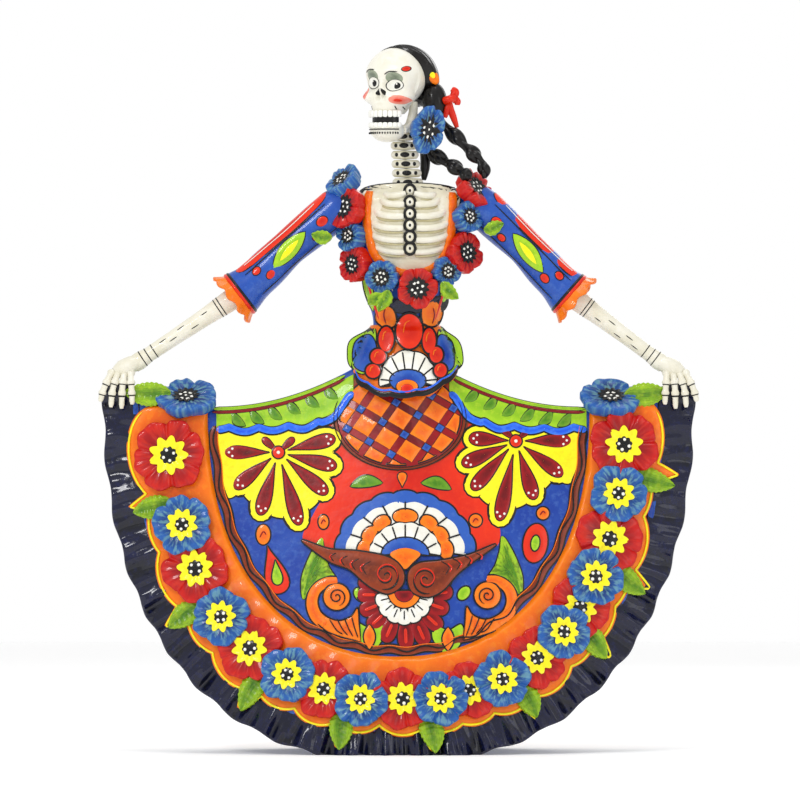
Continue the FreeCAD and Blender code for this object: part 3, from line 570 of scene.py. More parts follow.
def bead(heap, spot, cx, cy, r, h, lift, n=18, rings=6):
    """Low dome, its rim below the surface it sits on."""
    a = circle(n)[None, :]
    s = np.linspace(0.03, 1, rings)[:, None]
    z = lift + h * np.sqrt(np.clip(1 - s * s, 0, 1)) - 0.4 * (s > 0.99)
    local = xyz(cx + r * s * np.cos(a), cy + r * s * np.sin(a), z)
    heap.add(to_world(local, spot), s ** 2, wrap_b=True)


def boss(heap, spot, h, lift=0.0, n=18, rings=6):
    """Oval bead whose half sizes are the lengths of the spot's first two axes."""
    bead(heap, spot, 0, 0, 1.0, h, lift, n, rings)


def facing(place, half_w, half_h):
    """Spot that faces straight ahead, for an upright oval."""
    return np.array(place, float), np.array([half_w, 0, 0]), np.array([0, 0, half_h]), np.array([0, -1.0, 0])


def heart(spot, r, h, seed, yellow, heaps):
    """Centre of a flower: yellow star with a black button and white dots, or a black disc crowded with white
    dots."""
    rng = np.random.default_rng(seed + 500)
    base = h * 0.42
    if yellow:
        star(heaps["yellow"], spot, r * 0.56, h, 9, seed, base + 0.5)
        bead(heaps["black"], spot, 0, 0, r * 0.33, 1.7, base + 0.75)
        top, reach, dots, size = base + 2.2, r * 0.15, 4, 1.35
    else:
        star(heaps["black"], spot, r * 0.60, h, 12, seed, base + 0.4)
        bead(heaps["black"], spot, 0, 0, r * 0.44, 1.7, base + 0.7)
        top, reach, dots, size = base + 1.9, r * 0.27, 6, 1.35
        boss(heaps["white"], spot, 0.7, base + 2.1, 10, 4)
    turn = rng.uniform(0, 6)
    for k in range(dots):
        a = turn + 2 * PI * k / dots + rng.uniform(-0.2, 0.2)
        bead(heaps["white"], spot, reach * np.cos(a), reach * np.sin(a), size + 0.25 * rng.uniform(), 0.7,
                top - 0.25, 10, 4)


def leaf_shape(heap, spot, turn, length, width, thick, seed):
    """Pointed leaf: width follows a sine, a sunk midrib, side veins pressed in every 4 mm, a saw edge and a
    drooping tip."""
    u = np.linspace(0, 1, 46)[:, None]
    v = np.linspace(-1, 1, 15)[None, :]
    w = width / 2 * np.sin(PI * u ** 0.85) ** 0.75 * (1 + 0.05 * np.sin(u * length * 1.9))
    x = u * length
    y = v * w + 1.2 * np.sin(PI * u + seed)
    z = thick * (0.55 + 0.45 * np.abs(v) ** 0.7) - 0.5 * np.abs(v) ** 6 * thick
    z = z + 0.28 * np.sin(2 * PI * (x / 4.0 - 0.5 * np.abs(v)))
    z = z * np.sin(PI * np.clip(u, 0.02, 0.98)) ** 0.2 + 0.6 * np.sin(2 * u + seed)
    c, s = np.cos(turn), np.sin(turn)
    local = xyz(x * c - y * s, x * s + y * c, z)
    under = local.copy()
    under[..., 2] = -2.0
    uv = xyz(u + 0.5 * np.abs(v) * 0.2, np.abs(v))
    shade = np.abs(v) ** 1.5
    heap.add(to_world(local, spot), shade, uv)
    heap.add(to_world(under, spot), shade, uv, flip=True)
    rim = np.concatenate([local[:, 0], local[::-1, -1]])
    low = np.concatenate([under[:, 0], under[::-1, -1]])
    heap.add(to_world(np.stack([rim, low]), spot), 1.0, wrap_b=True)


def make_garland():
    """Flowers and leaves of the garland: one piece for each front flower, and one for each colour at the
    back."""
    backs, hearts, leaves = defaultdict(Heap), defaultdict(Heap), Heap()
    counts = {"red": 0, "blue": 0}
    for k, (colour, deg, w, r) in enumerate(FLOWERS):
        x, z = (float(c) for c in ring_point(np.radians(deg), w))
        h, lift = (5.8, BAND_T) if colour == "red" else (5.6, BAND_T + 2.6)
        spot = frame_at(x, z, lift)
        blossom = (spot, r, h, 5 if k % 3 else 6, k)
        one = Heap()
        petals(one, *blossom, foot=4.0)
        petals(backs[colour], *blossom, n=96, rings=12, foot=4.0)
        counts[colour] += 1
        tail = "_flower_%s_%02d" % (colour, counts[colour])
        one.put("glazed" + tail, "petal_" + colour, "garland" + tail)
        heart(spot, r, h, k, True, hearts)
    for colour, heap in backs.items():
        heap.put("flowers_%s_back" % colour, "petal_" + colour, "garland_flowers_%s_back" % colour, back=True)
    hearts["black"].both("flower_buttons_%s", "black", "garland_flower_eyes_%s")
    hearts["yellow"].both("flower_stars_%s", "yellow")
    hearts["white"].both("flower_dots_%s", "white")
    for k, (deg, w, length) in enumerate(LEAVES):
        t = np.radians(deg)
        x, z = (float(c) for c in ring_point(t, w))
        down = np.arctan2(-np.cos(t), np.sin(t))
        leaf_shape(leaves, frame_at(x, z, BAND_T - 0.4), down, length, 17.0, 3.2, k)
    leaves.both("leaves_%s", "leaf", "garland_leaves_%s")


def axes_from(normal, roll=0.0):
    """Two axes square to a normal, the first as level as it can be."""
    n = np.asarray(normal, float) / np.linalg.norm(normal)
    a = np.cross([0, 0, 1.0], n)
    a = a / np.linalg.norm(a) if np.linalg.norm(a) > 1e-6 else np.array([1.0, 0, 0])
    b = np.cross(n, a)
    return a * np.cos(roll) + b * np.sin(roll), b * np.cos(roll) - a * np.sin(roll), n


def make_corner_flowers():
    """A blossom on the fold beside each hand, facing up and forwards."""
    for side, name in ((-1, "left"), (1, "right")):
        x = side * 150.0
        a, b, n = axes_from([side * 0.1, -0.72, 0.70])
        spot = (np.array([x, -6.5, float(fold_z(x)) + 2.0]), a * 1.28, b * 0.9, n)
        body, hearts = Heap(), defaultdict(Heap)
        petals(body, spot, 17.5, 6.0, 5, 40 + side, foot=4.0)
        body.put("corner_blossom_" + name, "petal_blue", "corner_flower_" + name)
        heart(spot, 13.0, 6.0, 60 + side, False, hearts)
        hearts["black"].put("corner_button_" + name, "black")
        hearts["white"].put("corner_dots_" + name, "white")


# ------------------------------------------------------------------ bodice, peplum and collar
# height over the waist, sideways shift, share of the chest's width, share of its depth
SECTIONS = np.array([
    (0.0, 0.0, 0.60, 0.66), (32.0, 0.0, 0.53, 0.80), (56.0, 1.5, 0.68, 0.95), (80.0, 3.0, 0.86, 1.05),
    (103.0, 3.0, 1.00, 1.05), (119.0, 3.0, 1.02, 0.95), (128.0, 3.0, 0.72, 0.70),
])


def torso_section(dz):
    """Centre, half width and half depth of the bodice, dz above the waist, eased between the section rows."""
    dz = np.asarray(dz, float)
    i = np.clip(np.searchsorted(SECTIONS[:, 0], dz) - 1, 0, len(SECTIONS) - 2)
    k = np.clip((dz - SECTIONS[i, 0]) / (SECTIONS[i + 1, 0] - SECTIONS[i, 0]), 0, 1)
    k = (k * k * (3 - 2 * k))[..., None]
    row = SECTIONS[i, 1:] * (1 - k) + SECTIONS[i + 1, 1:] * k
    return TORSO_X + row[..., 0], row[..., 1] * CHEST_W / 2, row[..., 2] * CHEST_DEPTH / 2


def bodice_front(x, z, lift):
    """A point on the front of the bodice."""
    cx, rx, ry = torso_section(z - WAIST_Z)
    u = np.clip((x - cx) / (rx + lift * 0.5), -0.99, 0.99)
    return np.stack([x, -(ry + lift) * np.sqrt(1 - u * u), z], -1)


def peplum_radii(z):
    """Half width and half depth of the peplum: a bell from the pinched waist to the scalloped edge."""
    k = np.clip((302.0 - z) / (302.0 - 248.0), 0, 1)
    return 24.8 + 17.0 * np.sin(k * PI / 2) ** 0.9, 17.5 + 13.0 * np.sin(k * PI / 2) ** 0.9


def peplum_front(x, z, lift):
    """A point on the front of the peplum."""
    rx, ry = peplum_radii(z)
    u = np.clip((x - TORSO_X) / (rx + lift * 0.5), -0.99, 0.99)
    return np.stack([x, -(ry + lift) * np.sqrt(1 - u * u), z], -1)


def make_bodice():
    """Closed body through the torso's sections, with shallow upright folds, drawn in to a point on top."""
    a = circle(96)[None, :]
    dz = np.concatenate([np.linspace(0.2, 127, 90), [128.0, 128.3, 128.4]])[:, None]
    cx, rx, ry = torso_section(dz)
    close = np.ones_like(dz)
    close[-2:] = [[0.6], [0.02]]
    fold = 0.35 * np.sin(9 * a + dz * 0.05)
    p = xyz(cx + (rx + fold) * close * np.cos(a), (ry + fold) * close * np.sin(a), WAIST_Z + dz)
    heap = Heap()
    heap.add(p, 0.2, wrap_b=True, flip=True)
    heap.put("bodice_glazed", "blue", "bodice")


def peplum_low(a):
    """Lower edge of the peplum round the angle a: scallops, lowest in front and behind, lifted over the
    skirt's fold at the sides."""
    side = np.abs(np.cos(a))
    return 251.0 + 21.5 * side ** 3.2 + 3.2 * np.abs(np.sin(5.5 * a)) * (1 - side ** 6)


def make_peplum():
    """Bell with a wall 3.6 mm thick, from the waist to its scalloped edge, rippled towards the edge."""
    a = circle(240)[None, :]
    k = np.linspace(0, 1, 36)[:, None]
    z = 302.0 + (peplum_low(a) - 302.0) * k
    rx, ry = peplum_radii(z)
    ripple = 0.8 * k ** 2 * np.sin(11 * a)
    heap = Heap()
    outer = np.stack([TORSO_X + (rx + ripple) * np.cos(a), (ry + ripple) * np.sin(a), z], -1)
    inner = np.stack([TORSO_X + (rx - 3.6 + ripple) * np.cos(a), (ry - 3.6 + ripple) * np.sin(a), z + 0.4],
            -1)
    lip = (outer[-1] + inner[-1]) / 2 - np.array([0, 0, 1.4])
    body = np.concatenate([inner[:1], outer, [lip], inner[::-1]])
    heap.add(body, 0.3, wrap_b=True)
    heap.put("peplum_glazed", "orange", "peplum")


def gown_front(x, z, lift):
    """Front of the gown: the bodice above 305 mm, the peplum below 298 mm and a blend between them."""
    k = np.clip((np.asarray(z, float) - 298.0) / 7.0, 0, 1)[..., None]
    return bodice_front(x, np.maximum(z, WAIST_Z + 0.1), lift) * [1, 1, 0] * k + peplum_front(x, z,
            lift) * [1, 1, 0] * (1 - k) \
        + np.stack([x * 0, x * 0, z + 0 * x], -1)


def paint_torso():
    """Red ovals and orange patches on blue, the white shell fan and the dark scalloped edge of the peplum."""
    p = Paint(gown_front, "gown_paint", 1.0)
    cx = TORSO_X + 1
    # sides of the peplum
    p.shape("lime", loop([(-34, 291), (-24, 297), (-17, 300), (-17, 284), (-24, 268), (-34, 273), (-36, 282)],
            40), 1, dome=0.15)
    p.shape("lime", loop([(42, 291), (34, 297), (29, 300), (28, 284), (33, 268), (44, 273), (45, 282)], 40),
            1, dome=0.15)
    p.shape("blue", loop([(-31, 289), (-21, 295), (-16, 286), (-19, 270), (-31, 273)], 36), 4, edge=0.9,
            dome=0.15)
    p.shape("blue", loop([(38, 289), (30, 295), (27, 286), (30, 270), (38.5, 273)], 36), 4, edge=0.9,
            dome=0.15)
    # shell fan: white panels parted by black rays over a blue eye
    hub = (7.0, 262.0)
    arc = np.radians(np.linspace(-8, 188, 80))
    p.shape("white", np.stack([hub[0] + 19.5 * np.cos(arc) * (1 + 0.05 * np.abs(np.sin(4.5 * arc))),
                               hub[1] + 21.0 * np.sin(arc) * (1 + 0.05 * np.abs(np.sin(4.5 * arc)))], -1), 3,
                               centre=(7, 266), rings=8, edge=1.0)
    for k in range(8):
        a = np.radians(lerp(4, 176, k / 7))
        p.line("black", [(hub[0] + 11 * np.cos(a), hub[1] + 8 * np.sin(a)),
                (hub[0] + 20 * np.cos(a), hub[1] + 21.5 * np.sin(a))], 1.1, 5, n=10, taper=0.02)
    p.shape("blue", ellipse(6.5, 262.7, 12.5, 7.5), 6, edge=1.0)
    p.shape("orange", ellipse(6, 258.5, 7.5, 5.0), 8, edge=0.8)
    p.shape("red", ellipse(6, 257.0, 4.2, 3.2), 10, edge=0.5)
    low = through([(-31, 268), (-27, 262), (-18, 256.5), (-8, 253.6), (2.5, 253.4), (15, 254), (27, 259),
            (36, 265), (42, 271)], 90)
    low = low - [0, 1.0] * np.abs(np.sin(np.linspace(0, 5 * PI, 90)))[:, None] * 1.6
    p.line("black", low, 3.6, 9, smooth=False, n=90)
    p.line("sky", low + [0, 3.0], 1.4, 10, smooth=False, n=90)
    # red ovals round the shell
    for x, z, rx, rz in ((7.6, 297.5, 9.6, 12.4), (-8.8, 292, 5.5, 9.0), (21.6, 291, 4.8, 9.0),
            (-14.4, 279.7, 5.6, 5.5), (-18, 269.5, 5.2, 5.0),
                         (26.6, 281, 4.8, 5.8), (29.6, 270, 4.6, 5.0)):
        p.shape("red", ellipse(x, z, rx, rz, n=40), 12, edge=1.2, rings=8)
        p.line("orange", [(x - rx * 0.45, z - rz * 0.1), (x - rx * 0.3, z + rz * 0.45),
                (x + rx * 0.05, z + rz * 0.62)], 0.8, 15, n=12)
    # bodice above the waist
    p.shape("orange", loop([(-13, 316), (-4, 313), (-2, 303), (-9, 300), (-16, 306)], 50), 4, edge=1.1)
    p.shape("orange", loop([(18, 303), (17, 314), (25, 319), (31, 312), (27, 302)], 50), 4, edge=1.1)
    for side, x in ((-1, -9.0), (1, 24.0)):
        p.line("maroon", [(x, 303), (x + side * 1.5, 309), (x + side * 0.5, 314)], 1.0, 7)
    p.shape("navy", loop([(-12, 322), (8, 318), (33, 322), (32, 313), (24, 317), (14, 311), (0, 311),
            (-8, 316)], 70), 3, edge=0.8)
    for side in (-1, 1):
        p.shape("lime", lens(cx + side * 24, 312, cx + side * 31, 344, 6), 1)
        p.line("red", [(cx + side * 20, 306), (cx + side * 25, 322), (cx + side * 30, 340)], 1.6, 4)
        for k in range(4):
            p.line("white", [(cx + side * (10 + 4 * k), 326 + 5 * k),
                    (cx + side * (13 + 4 * k), 332 + 5 * k)], 0.9, 4, n=8)
    p.finish()


# colour, share of half the chest's width, height over the bodice's top, radius, upward tilt
COLLAR = [("blue", -1.05, 3, 13, 0.9), ("red", -1.0, -15, 15, 0.2), ("blue", -0.93, -35, 11, 0.1),
        ("red", -0.86, -55, 13, 0.0),
          ("blue", -0.43, -64, 12, -0.1), ("red", 0.11, -72, 14.5, 0.0), ("blue", 0.57, -60, 10.5, 0.0),
          ("red", 0.86, -47, 14.5, 0.1),
          ("blue", 0.91, -22, 11, 0.2), ("red", 1.02, -2, 14.5, 0.6)]


def make_collar():
    """Ring of blossoms on the chest, five leaves between them, and the frill they sit on."""
    parts, hearts = defaultdict(Heap), defaultdict(Heap)
    for k, (colour, share, over, r, tip) in enumerate(COLLAR):
        x, dz = TORSO_X + 3.0 + share * CHEST_W / 2, 128.0 + over
        cx, rx, ry = (float(c) for c in torso_section(dz))
        u = max(-0.97, min(0.97, (x - cx) / (rx + 4)))
        y = -(ry + 3) * (1 - u * u) ** 0.5
        a, b, n = axes_from([u * 0.8, -(1 - u * u) ** 0.5 - 0.35, tip], k)
        spot = (np.array([x, y - (3.0 if colour == "red" else 1.6), WAIST_Z + dz]), a, b, n)
        petals(parts[colour], spot, r, 5.5, 5, 70 + k, n=110, rings=14, foot=5.0)
        heart(spot, r, 5.5, 70 + k, False, hearts)
    for colour, heap in parts.items():
        heap.put("collar_blossoms_" + colour, "petal_" + colour, "collar_flowers_" + colour)
    hearts["black"].put("collar_buttons", "black", "collar_flower_eyes")
    hearts["white"].put("collar_dots", "white")
    leaf = Heap()
    for k, (x, z, y, turn, length) in enumerate([(-47, 364, -16, 3.0, 15), (-8, 327, -31, 4.4, 17),
            (-10, 324, -31, 3.8, 14),
                                                 (30, 332, -30, -0.75, 17), (60, 370, -16, 0.2, 15)]):
        a, b, n = axes_from([0.1 * (1 if x > 0 else -1), -1, 0.1])
        leaf_shape(leaf, (np.array([x, y, z], float), a, b, n), turn, length, 10.0, 2.4, k)
    leaf.put("collar_leaves", "leaf")
    # the frill inside the flowers, a U round the rib cage
    n = 220
    t = np.linspace(0, 1, n)
    path = through([(-21, 397), (-22.5, 376), (-18, 354), (-8, 343), (8, 338), (24, 342), (34, 354),
            (38, 374), (38.5, 396)], n)
    d = ahead(path)
    side = np.stack([-d[:, 1], d[:, 0]], -1)
    k = np.linspace(-1, 1, 9)
    q = path[None] + side[None] * (3.4 * k)[:, None, None]
    rise = 1.2 + 2.6 * np.clip(1 - (k * 0.9) ** 2, 0, 1)[:, None] + 0.8 * np.sin(t * 150)[None] * (k[:,
            None] + 1) / 2
    rise = np.where(np.abs(k)[:, None] > 0.99, -1.0, rise)
    frill = Heap()
    frill.add(bodice_front(q[..., 0], q[..., 1], rise), np.abs(k)[:, None] ** 2, flip=True)
    frill.put("collar_frill", "orange")


# ------------------------------------------------------------------ tubes, bones and arms
def tube_grid(path, radii, sides=20, squash=1.0):
    """Round section carried along a path: each ring is square to the path, and the end rings close to a
    point."""
    p = np.asarray(path, float)
    d = ahead(p)
    ref = np.array([0, 1.0, 0]) if abs(d[:, 1]).mean() < 0.8 else np.array([1.0, 0, 0])
    a = unit(np.cross(d, ref))
    b = np.cross(d, a)
    ang = circle(sides)
    r = np.asarray(radii, float)
    r = r[:, None] if r.ndim == 1 else r
    return p[:, None] + r[..., None] * (np.cos(ang)[None, :, None] * a[:, None] + squash * np.sin(ang)[None,
            :, None] * b[:, None])


def tube(heap, path, radii, sides=20, squash=1.0, shade=0.3):
    """Tube of a grid of rings, its ends closed by half rings to a point."""
    p = tube_grid(path, radii, sides, squash)
    ends = np.stack([np.repeat(p[:1].mean(1), sides, 0), np.repeat(p[-1:].mean(1), sides, 0)])
    first = lerp(ends[0], p[0], 0.5)[None]
    last = lerp(ends[1], p[-1], 0.5)[None]
    heap.add(np.concatenate([ends[:1], first, p, last, ends[1:]]), shade, wrap_b=True, flip=True)


def arm_points(side):
    """Shoulder, end of the sleeve and wrist, worked out from the chest and the skirt's corner."""
    shoulder = np.array([TORSO_X + 3 + side * (CHEST_W / 2 + 8), 0, WAIST_Z + 113])
    hand_x = side * (HALF_W - 21)
    wrist = np.array([hand_x, -1.0, float(fold_z(np.array(hand_x))) + 15.0])
    cuff = np.array([lerp(shoulder[0], wrist[0], 0.46), -2.0, lerp(shoulder[2], wrist[2], 0.53)])
    return shoulder, cuff, wrist


def sleeve_path(side):
    """Middle line of the sleeve, its radius along it, and its direction."""
    shoulder, cuff, wrist = arm_points(side)
    down = (cuff - shoulder) / np.linalg.norm(cuff - shoulder)
    pts = [shoulder - down * 10, shoulder, lerp(shoulder, cuff, 0.5) + [0, 0, 1.5],
            lerp(shoulder, cuff, 0.85), cuff + down * 1.5]
    path = through(pts, 60)
    t = np.linspace(0, 1, 60)
    radii = np.interp(t, [0, 0.25, 0.5, 0.75, 1], [11.5, 14.6, 13.0, 14.2, 16.4])
    return path, radii, down


def sleeve_surface(side):
    """Painting surface of a sleeve: x runs along it in millimetres, z round it, 0 facing forwards and up
    positive."""
    path, radii, down = sleeve_path(side)
    length = np.concatenate([[0], np.cumsum(np.linalg.norm(np.diff(path, axis=0), axis=1))])

    def at(x, z, lift):
        x = np.asarray(x, float)
        c = np.stack([np.interp(x, length, path[:, i]) for i in range(3)], -1)
        r = np.interp(x, length, radii)
        f = np.array([0, -1.0, 0])
        d = (path[-1] - path[0]) / np.linalg.norm(path[-1] - path[0])
        up = np.cross(f, d) * side
        up = up / np.linalg.norm(up)
        a = z / r
        return c + (r + lift)[..., None] * (np.cos(a)[..., None] * f + np.sin(a)[..., None] * up)
    return at


def paint_sleeve(side, name):
    """Red flash, green leaf with a yellow heart, red spots and fine lines, on the front and the back."""
    p = Paint(sleeve_surface(side), "sleeve_paint_" + name)
    p.shape("red", loop([(12, 12), (40, 8), (72, 9), (90, 12), (90, 20), (60, 19), (14, 21)], 60))
    p.shape("lime", lens(38, 1, 72, -3, 12), 2)
    p.shape("yellow", lens(44, 0, 66, -2.6, 5), 3, edge=0.4)
    for x, z, r in ((24, -1, 4.2), (34, -7, 3.2), (76, -5, 3.6), (82, 4, 3.2)):
        p.shape("red", ellipse(x, z, r, r * 0.8), 2, edge=0.6)
    for z in (-12, 7.5):
        p.line("black", [(14, z), (50, z - 1), (90, z)], 1.0)
    p.line("white", [(20, 14), (50, 12), (86, 15)], 0.7, 4)
    p.finish()


def make_cuff(side, name, cuff, wrist, down):
    """Ring that flares from the sleeve's end in nine waves, with a red and a black band round its root."""
    spot = (cuff + down * 1.5, *axes_from(down + unit(wrist - cuff)))
    t = np.linspace(0, 1, 16)[:, None]
    a = circle(160)[None, :]
    r = 15.6 + 4.2 * t ** 1.2 + 1.1 * np.sin(9 * a + side) * t ** 1.5
    h = 8.6 * t + 1.1 * np.sin(9 * a + side + 1.4) * t
    outer, inner = (xyz((r - wall) * np.cos(a), (r - wall) * np.sin(a), h - low) for wall,
            low in ((0, 0), (2.2, 0.4)))
    lip = (outer[-1] + inner[-1]) / 2 + [0, 0, 1.0]
    core = xyz(0.3 * np.cos(a), 0.3 * np.sin(a), 2.0)
    ring = Heap()
    ring.add(to_world(np.concatenate([outer, [lip], inner[::-1], core]), spot), 0.4, wrap_b=True, flip=True)
    ring.put("cuff_glazed_" + name, "orange", "cuff_" + name)
    k = np.linspace(-1, 1, 7)[:, None]
    for high, wide, colour in ((1.6, 16.6, "red"), (0.0, 16.3, "black")):
        r = wide + 0.9 * np.sqrt(1 - k ** 2 * 0.98)
        band = Heap()
        band.add(to_world(xyz(r * np.cos(a), r * np.sin(a), high + 1.3 * k), spot), 0.3, wrap_b=True,
                flip=True)
        band.put("cuff_band_%s_%s" % (colour, name), colour)
    return spot


def make_forearm(name, start, wrist):
    """Bone that narrows towards the wrist, with five dark rings and seven brush dashes."""
    t = np.linspace(0, 1, 60)
    thick = 7.0 * np.interp(t, [0, 0.12, 0.3, 0.6, 0.85, 0.94, 1.0],
            [1.12, 1.08, 0.92, 0.80, 0.76, 0.92, 0.84])
    shaft, marks = Heap(), Heap()
    tube(shaft, lerp(start, wrist, t[:, None]), thick, 28)
    shaft.put("forearm_glazed_" + name, "bone", "forearm_" + name)
    k = np.linspace(-1, 1, 9)
    for at in (0.16, 0.19, 0.80, 0.86, 0.91):
        r = np.interp(at, t, thick) + 0.28 * np.sqrt(1 - k ** 2 * 0.97) - 0.1
        marks.add(tube_grid(lerp(start, wrist, at + 0.005 * k[:, None]), r, 28), 0.3, wrap_b=True, flip=True)
    d, ahead_of = unit(wrist - start), np.array([0, -1.0, 0])
    for at, ang in ((0.3, 0.4), (0.42, -0.3), (0.52, 0.6), (0.62, -0.1), (0.70, 0.5), (0.36, 2.9),
            (0.55, 3.4)):
        out = np.cos(ang) * ahead_of + np.sin(ang) * np.cross(d, ahead_of)
        place = lerp(start, wrist, at) + out * (np.interp(at, t, thick) - 0.35)
        boss(marks, (place, d * 4.6, np.cross(out, d) * 0.55, out), 0.55, 0.0, 14, 4)
    marks.put("forearm_marks_" + name, "black")


def make_arms():
    """Each arm from shoulder to fingertips: a sleeve with soft creases, its painting, cuff, forearm and
    hand."""
    for side, name in ((-1, "left"), (1, "right")):
        shoulder, cuff, wrist = arm_points(side)
        path, radii, down = sleeve_path(side)
        crease = 0.5 * np.sin(np.linspace(0, 22, 60))[:, None] * np.sin(circle(40)[None, :] + 1.0) ** 2
        sleeve = Heap()
        tube(sleeve, path, radii[:, None] + crease, 40)
        sleeve.put("sleeve_glazed_" + name, "blue", "sleeve_" + name)
        paint_sleeve(side, name)
        spot = make_cuff(side, name, cuff, wrist, down)
        make_forearm(name, spot[0] + spot[3] * 3.0, wrist)
        make_hand(side, name, wrist)


def make_hand(side, name, wrist):
    """Palm bones that fan out from the wrist, four jointed fingers over the front of the skirt's corner and
    a thumb behind it."""
    hand = Heap()
    marks = Heap()
    palm = wrist + np.array([side * 7, -1.5, -2.5])
    tube(hand, through([wrist + [-side * 3, 0, 2], wrist + [side * 2, -1, 0], palm,
            palm + [side * 6, -1.5, -3.5]], 24),
         np.interp(np.linspace(0, 1, 24), [0, 0.3, 0.7, 1], [5.4, 6.2, 6.4, 3.8]), 22, 1.15)
    base = wrist[2] - 4
    for i, (dx, low) in enumerate([(-2.0, 29.0), (4.0, 32.0), (10.0, 31.0), (16.0, 27.0)]):
        x0 = wrist[0] + side * (2 + 4.2 * i)
        x1 = wrist[0] + side * (3 + dx * 1.25)
        y = -12.0
        pts = through([(x0, -4.0, base - 1), (lerp(x0, x1, 0.4), y + 1.0, base - 7),
                (lerp(x0, x1, 0.8), y, base - 15),
                       (x1, y + 0.5, base - low + 5)], 40)
        t = np.linspace(0, 1, 40)
        knuckles = sum(np.exp(-((t - c) / 0.055) ** 2) for c in (0.08, 0.40, 0.70))
        tube(hand, pts, (2.15 + 0.85 * knuckles) * np.interp(t, [0, 0.9, 1], [1.15, 0.9, 0.55]), 16)
        for c in (0.47, 0.76):
            k = int(c * 39)
            ring = tube_grid(pts[k - 1:k + 2], np.array([2.3, 2.55, 2.3]), 16)
            marks.add(ring, 0.3, wrap_b=True, flip=True)
    thumb = through([(wrist[0] + side, 0.0, base), (wrist[0] + side * 3, 9.5, base - 6),
            (wrist[0] + side * 4, 9.3, base - 18)], 24)
    t = np.linspace(0, 1, 24)
    tube(hand, thumb, (2.4 + 0.7 * np.exp(-((t - 0.5) / 0.08) ** 2)) * np.interp(t, [0, 0.9, 1],
            [1.15, 1, 0.6]), 16)
    hand.put("hand_glazed_" + name, "bone", "hand_" + name)
    marks.put("hand_marks_" + name, "black")


# ------------------------------------------------------------------ ribs, neck and head
def make_chest():
    """Rib cage: a shallow egg with five ribs a side laid on it, collar bones above and a chain of rounded
    breastbone links."""
    cx = TORSO_X + 3.0
    zc, rx, rz = WAIST_Z + 99.0, 27.0, 31.0
    front, ry = -CHEST_DEPTH * 0.28, CHEST_DEPTH * 0.37
    a = np.linspace(0, PI, 60)[:, None]
    b = circle(72)[None, :]
    egg = xyz(cx + rx * np.sin(a) * np.cos(b), front - ry * np.cos(a), zc + rz * np.sin(a) * np.sin(b))
    heap = Heap()
    heap.add(egg, 0.9, wrap_b=True)
    heap.put("ribcage_glazed", "bone", "ribcage")
    plate = loop([(-24, 399), (-23, 372), (-15, 350), (-2, 341), (18, 340), (31, 351), (38, 374), (39, 399)],
            80)
    p = Paint(bodice_front, "chest_paint", 0.7)
    p.shape("bone", plate, 1, rings=14, centre=(8, 372))
    p.finish(back=False)
    ribs, lines, chain, rings, top = (Heap() for k in range(5))
    for side in (-1, 1):
        for i in range(6):
            z = zc + 25.0 - 8.4 * i
            t = np.linspace(0.17, 1.45, 30)
            zz = z + 4.5 * t * t - 3.0 * t - (4.0 if i == 0 else 0) * t
            ring = np.sqrt(np.clip(1 - ((zz - zc) / rz) ** 2, 0.05, 1))
            path = np.stack([cx + side * rx * ring * np.sin(t), front - ry * ring * np.cos(t) - 0.5, zz], -1)
            tube(ribs, path, np.interp(t, [0.17, 0.3, 1.2, 1.45], [2.0, 2.4, 2.5, 1.6]), 16)
            low = path + np.array([0, -0.3, -3.2])
            tube(lines, low, np.interp(t, [0.17, 0.8, 1.45], [0.5, 1.2, 0.9]), 8)
    for i in range(6):
        z = WAIST_Z + 125.0 - 8.2 * i
        ring = np.sqrt(max(0.05, 1 - ((z - zc) / rz) ** 2))
        y = front - ry * ring - 1.2
        ang = circle(40)
        link = np.stack([cx + 3.7 * np.cos(ang), np.full(40, y), z + 4.2 * np.sin(ang)], -1)
        link = np.concatenate([link, link[:1]])
        tube(rings, link + [0, 0.3, 0], np.full(41, 1.1), 8)
        boss(rings, facing([cx, y - 1.3, z], 1.0, 1.3), 0.5, 0, 14, 4)
        boss(chain, facing([cx, y + 0.6, z], 3.2, 3.7), 1.8, 0, 24, 8)
    ribs.put("ribs_glazed", "bone", "ribs")
    lines.put("rib_lines", "olive")
    chain.put("sternum_links", "bone", "sternum")
    rings.put("sternum_rings", "black")
    # shoulders of bone either side of the neck, over a low bone dome
    mid, wide, deep = (float(c) for c in torso_section(127.0))
    boss(top, (np.array([mid, 0, WAIST_Z + 127.0]), np.array([wide + 1.2, 0, 0]),
            np.array([0, deep + 1.2, 0]), np.array([0, 0, 1.0])), 3.4, 0, 60, 10)
    for side in (-1, 1):
        pts = through([(cx + side * 4, -13, 394), (cx + side * 13, -14, 393), (cx + side * 24, -12, 392),
                (cx + side * 32, -8, 394)], 30)
        tube(top, pts, np.interp(np.linspace(0, 1, 30), [0, 0.5, 1], [3.6, 3.0, 3.8]), 16)
    top.put("collar_bones", "bone")


